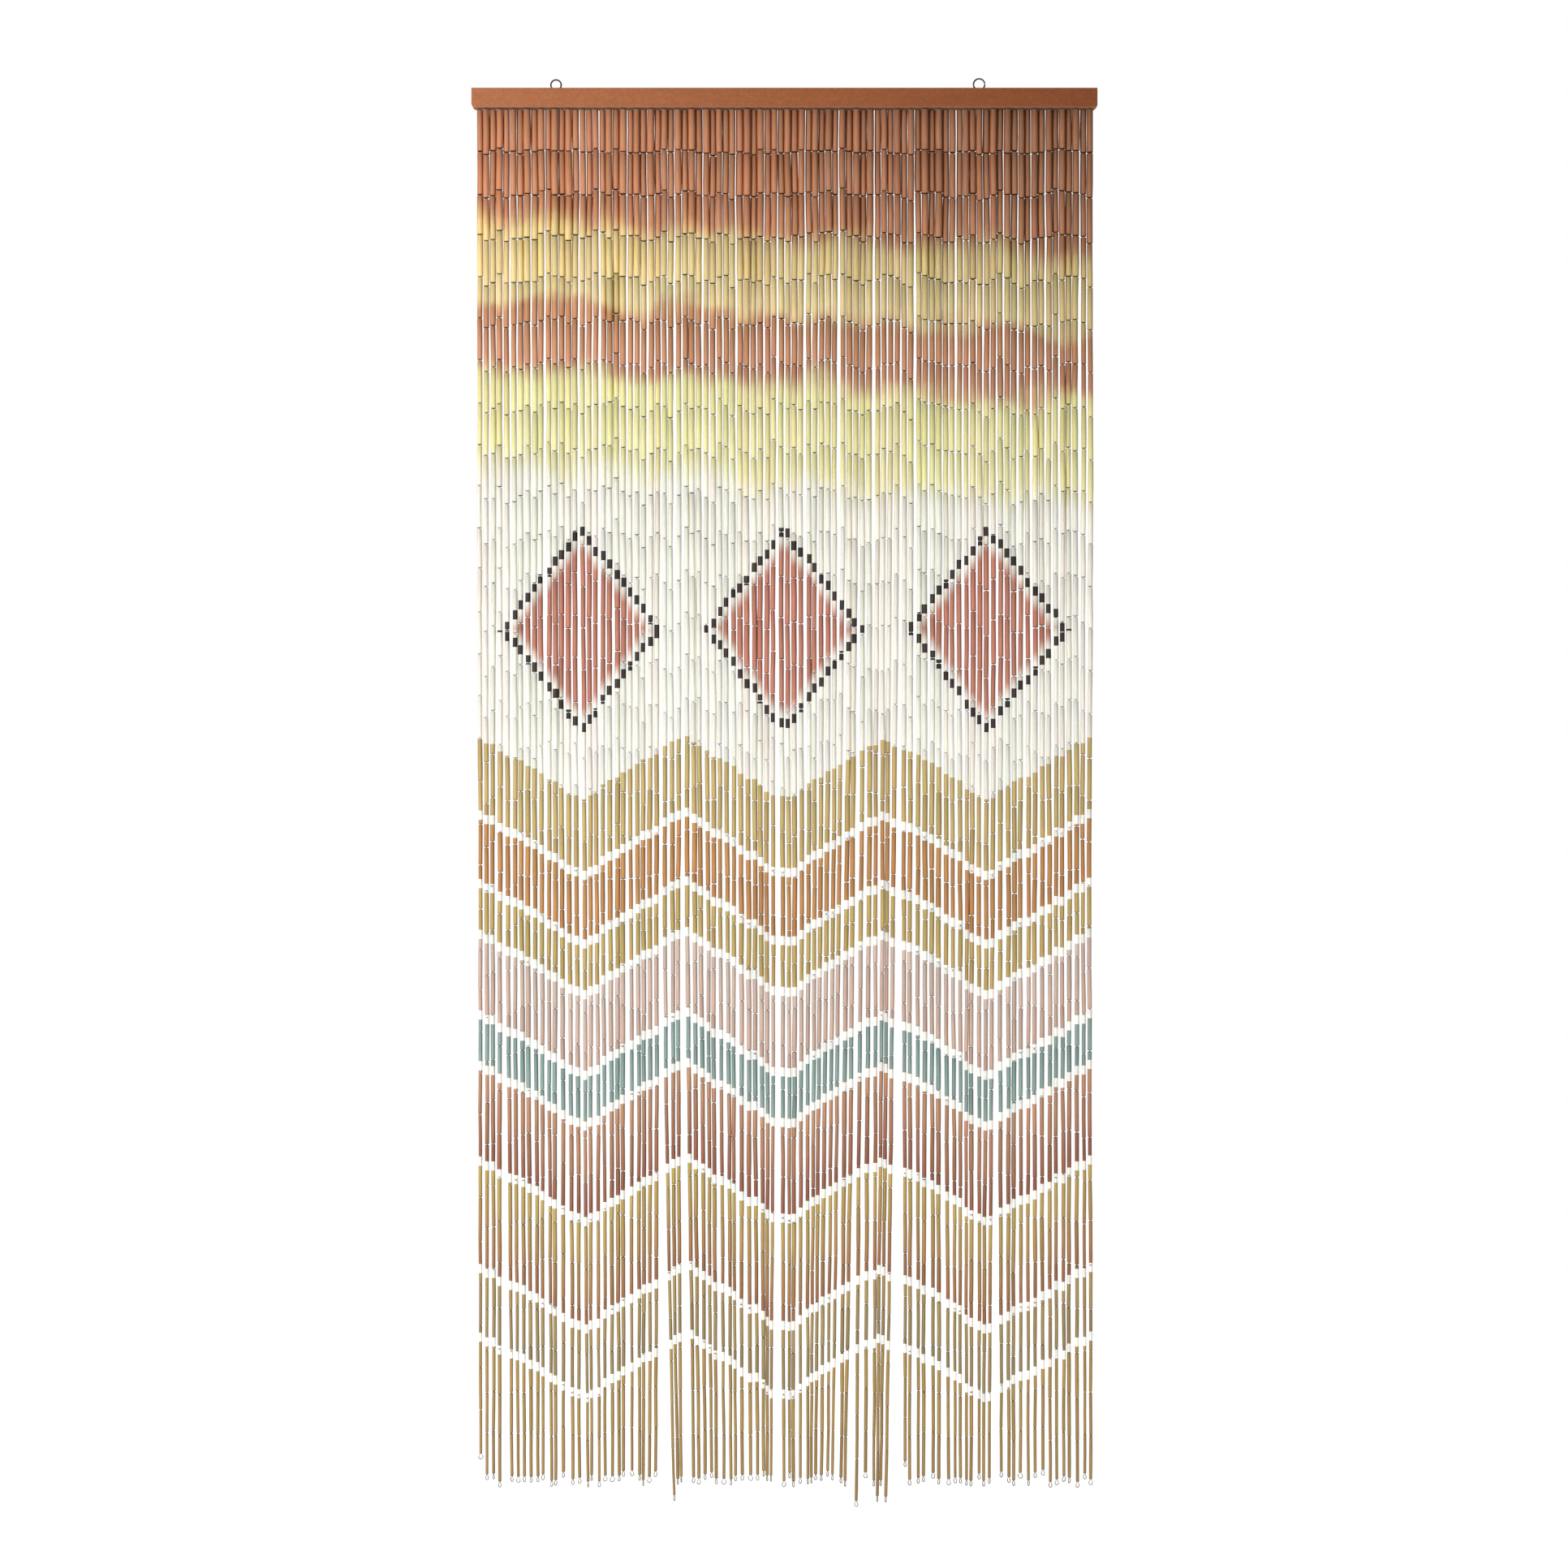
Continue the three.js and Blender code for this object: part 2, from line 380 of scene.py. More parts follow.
@dataclass(frozen=True)
class PaintedBamboo:
    """Split bamboo tubes, sprayed and brushed with matt paint, then thinly varnished.

    The eye sees the fibres through the paint as fine upright streaks, every tube a little
    lighter or darker than the next. Painted shade gives a dark rim at each end, deeper colour
    on the tubes' sides, near-black lower cut ends and bore, and part of the upper bands'
    darkening towards the right.
    The design steps from strand to strand, as each strand was painted at its own place.
    """

    # The sprayed ground: how far down each colour is full, in metres, and its drift
    soft_bands: tuple[tuple[float, str], ...] = (
        (-0.10, "#985a44"),
        (0.06, "#c68767"),
        (0.190, "#cd8e6c"),
        (0.245, "#ecd498"),
        (0.315, "#edd79e"),
        (0.350, "#c78d68"),
        (0.405, "#ca9172"),
        (0.455, "#e9e2a4"),
        (0.545, "#ebe6b0"),
        (0.605, "#f0eee6"),
        (0.90, "#f1efe8"),
    )
    spray_drift: float = 0.06
    spray_stray: float = 0.045
    brush_stray: float = 0.004
    cloud_size: float = 85 * MM
    # Painted shade: the upper soft bands darken towards the right and fade out lower down, partly
    # standing in for the key light's falloff and partly a soft ombré in the design
    right_painted_shade: Fade = Fade(-0.45, 0.5, 0.0, 0.38)
    right_shade_full: float = 0.1
    right_shade_end: float = 0.6
    warm: str = "#fffaf4"
    cool: str = "#f8fcf6"
    # The chevron bands from the top, and the white lines between them
    bands: tuple[Band, ...] = (
        Band("#c4ae76", "#bfa66b", 0.100),
        Band("#bf8c56", "#b98350", 0.085),
        Band("#bda669", "#b99f60", 0.060),
        Band("#cdb8af", "#c6a79b", 0.100),
        Band("#7f9b9b", "#86a09e", 0.060),
        Band("#bd9074", "#8f5544", 0.125),
        Band("#bba35f", "#9a6549", 0.140),
        Band("#a8915f", "#93805c", 0.085),
        Band("#aa8e55", "#987a52", 0.250),
    )
    bands_start: float = 0.985
    bands_span: float = 1.1
    # A band's colour starts this share of their whole height under the line above it
    band_step: float = 0.0005
    chevron_slope: float = 0.62
    line: str = "#fdfdfc"
    line_height: float = 0.014
    # The lozenges
    motif_pitch: float = 0.293
    motif_middle: float = 0.785
    motif_half_width: float = 0.118
    motif_half_height: float = 0.150
    motif_fill: str = "#bb6f5c"
    motif_fade: Fade = Fade(0.74, 0.92, 0.94, 0.0)
    motif_edge: str = "#2d282c"
    motif_edge_share: float = 0.09
    # The bamboo: fibres, specks, uneven tubes, the cut ends and the bore. The dark rims at a
    # tube's ends are painted shade at the joints; how dark its lower rim gets comes from the
    # fraction of its tone times the number of draws given below.
    fibre_width: float = 0.45 * MM
    fibre_length: float = 22 * MM
    grain_size: float = 0.35 * MM
    streaks: Fade = Fade(0.3, 0.7, 0.84, 1.12)
    specks: Fade = Fade(0.3, 0.7, 0.93, 1.07)
    tones: Fade = Fade(0.0, 1.0, 0.89, 1.1)
    upper_rim_shade: Fade = Fade(0.0, 0.015, 0.88, 1.0)
    rim_shade_draws: float = 7.0
    rim_shade_range: Fade = Fade(0.0, 1.0, 0.25, 0.9)
    rim_shade_start: float = 0.978
    rim_shade_full: float = 0.988
    see_through: Fade = Fade(0.5, 0.75, 0.04, 0.2)
    # Painted shade: how much deeper the colour gets on the tubes' sides, which turn away from the
    # front
    painted_side_shade: Fade = Fade(0.1, 0.95, 1.6, 1.0)
    cut_level: float = 0.96
    raw_wood: str = "#a98a58"
    cut_wood: str = "#d3bd93"
    # Painted shade: the lower cut ends, which face down into shade, are painted near-black
    shaded_lower_ends: str = "#35231a"
    # Painted shade: the bore, in shade inside the hollow, is painted near-black
    shaded_bore: str = "#211811"
    # The thin varnish
    roughness: Fade = Fade(0.0, 1.0, 0.47, 0.67)
    shine: float = 0.22
    bump: float = 0.5
    bump_height: float = 0.12 * MM

    def build(self) -> bpy.types.Material:
        """Makes the material.

        Returns:
            The material.
        """
        material, tree = new_material("painted_bamboo")
        place = add(tree, "TexCoord").outputs["Object"]
        paint = add(tree, "Attribute", attribute_name="paint").outputs["Vector"]
        tube = add(tree, "Attribute", attribute_name="tube").outputs["Vector"]
        colour, fibre = self._wood(tree, place, tube, self._design(tree, place, paint))
        rough = add(tree, "MapRange", self.roughness.of(fibre))
        relief = {"Height": fibre, "Strength": self.bump, "Distance": self.bump_height}
        look = {"Base Color": colour, "Roughness": rough, "Normal": add(tree, "Bump", relief)}
        shader = add(tree, "BsdfPrincipled", {**look, "Specular IOR Level": self.shine})
        add(tree, "OutputMaterial", {"Surface": shader})
        return material

    def _design(self, tree: Tree, place: Feed, paint: Feed) -> Node:
        """Draws the painted design: soft bands, a row of lozenges, and chevron bands.

        Args:
            tree: The material's node tree.
            place: Object coordinates.
            paint: Across and down from the rail's middle, and the strand's chance number.

        Returns:
            The paint's colour.
        """
        parts = add(tree, "SeparateXYZ", {0: paint}).outputs
        across, down, stray = parts[0], parts[1], parts[2]
        moved = {0: stray, 1: 2 * self.brush_stray, 2: down}
        brushed = add(tree, "Math", moved, operation="MULTIPLY_ADD")
        cloud = add(tree, "TexNoise", {0: place, "Scale": 1 / self.cloud_size, "Detail": 3.0})
        moved = {0: cloud, 1: 2 * self.spray_stray, 2: brushed}
        cloudy = add(tree, "Math", moved, operation="MULTIPLY_ADD")
        sprayed = add(tree, "Math", {0: cloudy, 1: self.spray_stray}, operation="SUBTRACT")
        moved = {0: across, 1: -self.spray_drift, 2: sprayed}
        drifted = add(tree, "Math", moved, operation="MULTIPLY_ADD")
        whole = Fade(self.soft_bands[0][0], self.soft_bands[-1][0])
        share = add(tree, "MapRange", whole.of(drifted))
        length = whole.end - whole.start
        stops = [((level - whole.start) / length, code) for level, code in self.soft_bands]
        ground = add(tree, "ValToRGB", {0: share}, stops)
        ground.color_ramp.interpolation = "EASE"
        # Painted shade: darkens the ground towards the right, most near the top
        right_shade_depth = add(tree, "MapRange", self.right_painted_shade.of(across), interpolation_type="SMOOTHSTEP")
        right_shade_fade = {0: drifted, 1: self.right_shade_full, 2: self.right_shade_end, 3: right_shade_depth, 4: 0.0}
        right_shading = add(tree, "MapRange", right_shade_fade, interpolation_type="SMOOTHSTEP")
        light = add(tree, "Math", {0: 1.0, 1: right_shading}, operation="SUBTRACT")
        shaded_ground = add(tree, "VectorMath", {0: ground, "Scale": light}, operation="SCALE")

        from_middle = add(tree, "Math", {0: across, 1: self.motif_pitch / 2}, operation="PINGPONG")
        with_motifs = self._lozenges(tree, from_middle, brushed, shaded_ground)
        painted = self._chevrons(tree, from_middle, brushed, with_motifs)
        leaning = add(tree, "Math", {0: stray, 1: 0.5})
        tint = add(tree, "Mix", {0: leaning, 6: self.warm, 7: self.cool}, data_type="RGBA")
        return add(tree, "VectorMath", {0: painted, 1: tint}, operation="MULTIPLY")

    def _lozenges(self, tree: Tree, from_middle: Feed, down: Feed, ground: Feed) -> Node:
        """Paints the row of dark-edged lozenges over the cream ground.

        Args:
            tree: The material's node tree.
            from_middle: Distance across from the nearest motif's middle.
            down: Distance down from the rail.
            ground: The colour under the motifs.

        Returns:
            The colour with the motifs.
        """
        below = add(tree, "Math", {0: down, 1: self.motif_middle}, operation="SUBTRACT")
        height = add(tree, "Math", {0: below}, operation="ABSOLUTE")
        tall = add(tree, "Math", {0: height, 1: self.motif_half_height}, operation="DIVIDE")
        wide = {0: from_middle, 1: 1 / self.motif_half_width, 2: tall}
        reach = add(tree, "Math", wide, operation="MULTIPLY_ADD")
        filled = add(tree, "MapRange", self.motif_fade.of(reach), interpolation_type="SMOOTHSTEP")
        inside = add(tree, "Mix", {0: filled, 6: ground, 7: self.motif_fill}, data_type="RGBA")
        half_edge = self.motif_edge_share / 2
        on_edge = add(tree, "Math", {0: reach, 1: 1 - half_edge, 2: half_edge}, operation="COMPARE")
        return add(tree, "Mix", {0: on_edge, 6: inside, 7: self.motif_edge}, data_type="RGBA")

    def _chevrons(self, tree: Tree, from_middle: Feed, down: Feed, ground: Feed) -> Node:
        """Paints the chevron bands, parted by brushed white lines.

        Args:
            tree: The material's node tree.
            from_middle: Distance across from the nearest motif's middle.
            down: Distance down from the rail.
            ground: The colour above the bands.

        Returns:
            The colour with the bands.
        """
        sloping = {0: from_middle, 1: self.chevron_slope, 2: down}
        folded = add(tree, "Math", sloping, operation="MULTIPLY_ADD")
        start = self.bands_start + self.chevron_slope * self.motif_pitch / 4
        share = add(tree, "MapRange", Fade(start, start + self.bands_span).of(folded))
        colours: list[tuple[float, str]] = []
        lines = [(0.0, BLACK)]
        top = 0.0
        for band in self.bands:
            end = min(top + band.height, self.bands_span)
            colours.append((min(top / self.bands_span + self.band_step, 1.0), band.upper))
            colours.append((end / self.bands_span, band.lower))
            lines.append((end / self.bands_span, WHITE))
            top = end + self.line_height
            lines.append((min(top / self.bands_span, 1.0), BLACK))
        painted = add(tree, "ValToRGB", {0: share}, colours)
        lined = add(tree, "ValToRGB", {0: share}, lines[:-2])
        lined.color_ramp.interpolation = "CONSTANT"
        banded = add(tree, "Mix", {0: lined, 6: painted, 7: self.line}, data_type="RGBA")
        reached = add(tree, "Math", {0: share, 1: 0.0}, operation="GREATER_THAN")
        return add(tree, "Mix", {0: reached, 6: ground, 7: banded}, data_type="RGBA")

    def _wood(self, tree: Tree, place: Feed, tube: Feed, paint: Feed) -> tuple[Node, Node]:
        """Lets the bamboo show, and paints shade on the rims, sides, lower cut ends and bore.

        Args:
            tree: The material's node tree.
            place: Object coordinates.
            tube: Along the tube from 0 to 1, its tone, and 1 in the bore, which is painted shade.
            paint: The paint's colour.

        Returns:
            The finished colour, and the fibres' height from 0 to 1.
        """
        scale = (1 / self.fibre_width, 1 / self.fibre_width, 1 / self.fibre_length)
        stretched = add(tree, "Mapping", {0: place, "Scale": scale})
        fibre = add(tree, "TexNoise", {0: stretched, "Scale": 1.0, "Detail": 2.0})
        speck = add(tree, "TexNoise", {0: place, "Scale": 1 / self.grain_size, "Detail": 1.0})
        parts = add(tree, "SeparateXYZ", {0: tube}).outputs
        along, tone, in_bore = parts[0], parts[1], parts[2]

        # Painted shade at the joints: the lower rim darkens by a random depth, the upper rim a
        # little
        luck = add(tree, "Math", {0: tone, 1: self.rim_shade_draws}, operation="MULTIPLY")
        lower_shade = add(tree, "MapRange", self.rim_shade_range.of(add(tree, "Math", {0: luck}, operation="FRACT")))
        lower_rim_shading = {0: along, 1: self.rim_shade_start, 2: self.rim_shade_full, 3: 1.0, 4: lower_shade}
        shade = add(tree, "MapRange", lower_rim_shading)
        uneven = ((self.streaks, fibre), (self.specks, speck), (self.tones, tone))
        for fade, value in (*uneven, (self.upper_rim_shade, along)):
            factor = add(tree, "MapRange", fade.of(value))
            shade = add(tree, "Math", {0: shade, 1: factor}, operation="MULTIPLY")

        thin = add(tree, "MapRange", self.see_through.of(fibre))
        through = add(tree, "Mix", {0: thin, 6: paint, 7: self.raw_wood}, data_type="RGBA")
        surface = add(tree, "NewGeometry").outputs
        # Painted shade: the sides of each tube, which turn away from the front, get deeper colour
        across = add(tree, "SeparateXYZ", {0: surface["Normal"]}).outputs[1]
        front = add(tree, "Math", {0: across}, operation="ABSOLUTE")
        depth = add(tree, "MapRange", self.painted_side_shade.of(front), interpolation_type="SMOOTHSTEP")
        side_shaded = add(tree, "Gamma", {0: through, 1: depth})
        # Painted shade: the bore turns near-black
        with_bore_shade = add(tree, "Mix", {0: in_bore, 6: side_shaded, 7: self.shaded_bore}, data_type="RGBA")
        upward = add(tree, "SeparateXYZ", {0: surface["True Normal"]}).outputs[2]
        level = add(tree, "Math", {0: upward}, operation="ABSOLUTE")
        cut = add(tree, "Math", {0: level, 1: self.cut_level}, operation="GREATER_THAN")
        # Painted shade: lower cut ends near-black, upper cut ends in the fresh cut wood's colour
        lower = add(tree, "Math", {0: along, 1: 0.5}, operation="GREATER_THAN")
        ends = add(tree, "Mix", {0: lower, 6: self.cut_wood, 7: self.shaded_lower_ends}, data_type="RGBA")
        ended = add(tree, "Mix", {0: cut, 6: with_bore_shade, 7: ends}, data_type="RGBA")
        return add(tree, "VectorMath", {0: ended, "Scale": shade}, operation="SCALE"), fibre


@dataclass(frozen=True)
class PaintedPine:
    """A planed pine batten under one coat of rust-brown opaque stain.

    The eye sees soft long grain, a slightly mottled coat that is lighter at the left and
    darker towards the right, a few pale slanting scratches, and an underside given a paler
    colour, painted light that lifts the shade under the rail.
    """

    coat: tuple[tuple[float, str], ...] = ((0.0, "#b16e49"), (0.5, "#a05e38"), (1.0, "#8b4c29"))
    rail_length: Fade = Fade(-0.45, 0.45)
    # Painted light: the underside's own paler colour lifts the shade that falls under the rail
    underside: str = "#946a50"
    underside_height: float = -34 * MM
    grain_width: float = 1.6 * MM
    grain_length: float = 70 * MM
    grained: Fade = Fade(0.3, 0.7, 0.94, 1.05)
    mottle_size: float = 4 * MM
    mottled: Fade = Fade(0.3, 0.7, 0.9, 1.1)
    scratch: str = "#c48a6a"
    scratch_width: float = 0.7 * MM
    scratch_length: float = 9 * MM
    scratch_slant: float = 48.0
    scratched: Fade = Fade(0.72, 0.8, 0.0, 0.3)
    patch_size: float = 71.43 * MM
    patches: Fade = Fade(0.53, 0.62)
    roughness: Fade = Fade(0.0, 1.0, 0.42, 0.6)
    shine: float = 0.25
    bump: float = 0.4
    bump_height: float = 0.15 * MM

    def build(self) -> bpy.types.Material:
        """Makes the material.

        Returns:
            The material.
        """
        material, tree = new_material("painted_pine")
        place = add(tree, "TexCoord").outputs["Object"]
        parts = add(tree, "SeparateXYZ", {0: place}).outputs
        share = add(tree, "MapRange", self.rail_length.of(parts[0]))
        coat = add(tree, "ValToRGB", {0: share}, self.coat)
        scale = (1 / self.grain_length, 1 / self.grain_width, 1 / self.grain_width)
        stretched = add(tree, "Mapping", {0: place, "Scale": scale})
        grain = add(tree, "TexNoise", {0: stretched, "Scale": 1.0, "Detail": 4.0})
        mottle = add(tree, "TexNoise", {0: place, "Scale": 1 / self.mottle_size, "Detail": 3.0})
        grained = add(tree, "MapRange", self.grained.of(grain))
        mottled = add(tree, "MapRange", self.mottled.of(mottle))
        shade = add(tree, "Math", {0: grained, 1: mottled}, operation="MULTIPLY")
        toned = add(tree, "VectorMath", {0: coat, "Scale": shade}, operation="SCALE")
        scratches = self._scratches(tree, place)
        colour = add(tree, "Mix", {0: scratches, 6: toned, 7: self.scratch}, data_type="RGBA")
        # Painted light: below this height the underside takes its paler colour
        under = add(tree, "Math", {0: parts[2], 1: self.underside_height}, operation="LESS_THAN")
        colour = add(tree, "Mix", {0: under, 6: colour, 7: self.underside}, data_type="RGBA")
        rough = add(tree, "MapRange", self.roughness.of(mottle))
        relief = {"Height": grain, "Strength": self.bump, "Distance": self.bump_height}
        look = {"Base Color": colour, "Roughness": rough, "Normal": add(tree, "Bump", relief)}
        shader = add(tree, "BsdfPrincipled", {**look, "Specular IOR Level": self.shine})
        add(tree, "OutputMaterial", {"Surface": shader})
        return material

    def _scratches(self, tree: Tree, place: Feed) -> Node:
        """Makes a few short slanting scratches.

        Args:
            tree: The material's node tree.
            place: Object coordinates.

        Returns:
            How much of the scratch's colour shows, from 0 to 1.
        """
        size = (self.scratch_width, self.scratch_width, self.scratch_length)
        slant = (0.0, math.radians(self.scratch_slant), 0.0)
        turned = {0: place, "Rotation": slant, "Scale": size}
        slanted = add(tree, "Mapping", turned, vector_type="TEXTURE")
        lines = add(tree, "TexNoise", {0: slanted, "Scale": 1.0, "Detail": 0.0})
        thin = add(tree, "MapRange", self.scratched.of(lines))
        patch = add(tree, "TexNoise", {0: place, "Scale": 1 / self.patch_size, "Detail": 0.0})
        where = add(tree, "MapRange", self.patches.of(patch))
        return add(tree, "Math", {0: thin, 1: where}, operation="MULTIPLY")


@dataclass(frozen=True)
class Steel:
    """Drawn steel wire: bright galvanised links, or darker plated screw eyes.

    The eye sees a soft metal gleam, broken by small dull patches of zinc bloom.

    Attributes:
        name: The material's name.
        bright: Colour of the clean metal.
        dull: Colour of the patches.
        patch_size: Size of a patch, in metres.
        patches: Where the noise makes a patch.
        roughness: From the clean metal's to that of the patches.
    """

    name: str
    bright: str
    dull: str
    patch_size: float = 1.5 * MM
    patches: Fade = Fade(0.42, 0.62)
    roughness: Fade = Fade(0.0, 1.0, 0.32, 0.57)

    def build(self) -> bpy.types.Material:
        """Makes the material.

        Returns:
            The material.
        """
        material, tree = new_material(self.name)
        place = add(tree, "TexCoord").outputs["Object"]
        bloom = add(tree, "TexNoise", {0: place, "Scale": 1 / self.patch_size, "Detail": 3.0})
        patches = add(tree, "MapRange", self.patches.of(bloom))
        colour = add(tree, "Mix", {0: patches, 6: self.bright, 7: self.dull}, data_type="RGBA")
        rough = add(tree, "MapRange", self.roughness.of(patches))
        look = {"Base Color": colour, "Roughness": rough, "Metallic": 1.0}
        add(tree, "OutputMaterial", {"Surface": add(tree, "BsdfPrincipled", look)})
        return material


# How the strands hang


@dataclass(frozen=True)
class Lean:
    """Strands that lean together at their lower ends.

    Attributes:
        first: Number of the first strand, from 1 at the left.
        last: Number of the last strand.
        start: How far the first one's end lies to the right of its own place, in mm.
        finish: The same for the last one.
        bend: 2 where the lean starts high up, 4 where it is all low down.
    """

    first: int
    last: int
    start: float
    finish: float
    bend: int = 2


@dataclass
class Hang:
    """Where the ninety strands hang, with the same sizes as the solids, in millimetres."""

    count: int = 90
    row_width: float = 879
    drop: float = 2004
    drop_spread: float = 9
    stagger: float = 1
    stagger_share: float = 0.25
    end_spread: float = 2.2
    closest_ends: float = 5
    wander: float = 1
    wander_waves: float = 1.4
    loop_across: float = 8
    loop_overlap: float = 0.8
    # Share of the drop, and the tubes' usual width there
    tube_widths: tuple[tuple[float, float], ...] = (
        (0, 10.4),
        (0.06, 9.9),
        (0.17, 8.1),
        (0.75, 5.9),
        (1, 4.6),
    )
    leans: tuple[Lean, ...] = (
        Lean(1, 4, 1, 1),
        Lean(5, 11, 6, 5),
        Lean(12, 16, 1, 9),
        Lean(17, 24, 3, 2),
        Lean(25, 27, -4.5, -1.5),
        Lean(28, 30, 12.5, 4.6, 4),
        Lean(31, 36, 12, 6),
        Lean(37, 42, 5, 4),
        Lean(43, 44, -2, -4.5),
        Lean(45, 49, 3, -3),
        Lean(50, 56, -8, -15.5),
        Lean(57, 59, -9.5, -5),
        Lean(60, 62, -11.5, -19),
        Lean(63, 68, -1, 0),
        Lean(69, 76, 5, -5),
        Lean(77, 90, 0, 3),
    )
    odd_drops: dict[int, float] = field(
        default_factory=lambda: {1: -24, 28: 27, 30: 10, 32: 12, 57: 34, 60: 22, 62: 30, 63: -17}
    )

    def __post_init__(self) -> None:
        """Reads the rail from the frame and settles the strands' ends."""
        self.rail_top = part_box(RAIL_NODE)[1][2] / MM
        self.rail_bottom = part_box(RAIL_NODE)[0][2] / MM
        self.pitch = self.row_width / (self.count - 1)
        self.ends: list[float] = []
        for number in range(1, self.count + 1):
            lean = self.lean_of(number)
            along = (number - lean.first) / (lean.last - lean.first)
            offset = lean.start + (lean.finish - lean.start) * along
            stray = (2 * self.chance(number, Trait.END) - 1) * self.end_spread
            before = self.ends[-1] + self.closest_ends if self.ends else -math.inf
            self.ends.append(max(self.place_of(number) + offset + stray, before))

    @staticmethod
    def chance(number: int, trait: Trait) -> float:
        """Gives a repeatable number from 0 to 1 for a trait of a strand."""
        wave = math.sin(number * CHANCE_STEP + trait.value * CHANCE_TRAIT_STEP) * CHANCE_SPREAD
        return wave - math.floor(wave)

    def place_of(self, number: int) -> float:
        """Gives a strand's own place along the rail."""
        return (number - 1) * self.row_width / (self.count - 1) - self.row_width / 2

    def lean_of(self, number: int) -> Lean:
        """Gives the lean that a strand shares."""
        return next(lean for lean in self.leans if number <= lean.last)

    def end_height(self, number: int) -> float:
        """Gives how high a strand's last tube ends.

        Args:
            number: The strand's number.

        Returns:
            The height, in millimetres.
        """
        spread = (2 * self.chance(number, Trait.DROP) - 1) * self.drop_spread
        drop = self.drop + spread + self.odd_drops.get(number, 0)
        return self.rail_top - drop + self.loop_across - self.loop_overlap

    def middle(self, number: int, share: float) -> tuple[float, float]:
        """Gives the middle of a strand at a share of its drop.

        Args:
            number: The strand's number.
            share: 0 at the rail, 1 at the end of its last tube.

        Returns:
            Its place along the rail and in depth, in millimetres.
        """
        place = self.place_of(number)
        lean = (self.ends[number - 1] - place) * share ** self.lean_of(number).bend
        phase = 2 * math.pi * (self.wander_waves * share + self.chance(number, Trait.WANDER))
        wander = self.wander * math.sin(phase) * math.sin(math.pi * share)
        side = -self.stagger if number % 2 == 0 else self.stagger
        return place + lean + wander, side * min(1, share / self.stagger_share)

    def tube_width(self, share: float) -> float:
        """Gives the tubes' usual width at a share of the drop."""
        shares, widths = zip(*self.tube_widths)
        return float(np.interp(share, shares, widths))

    def room_at_end(self, number: int) -> float:
        """Gives the distance from a strand's end to the nearest end beside it."""
        ends = [-math.inf, *self.ends, math.inf]
        return min(ends[number] - ends[number - 1], ends[number + 1] - ends[number])


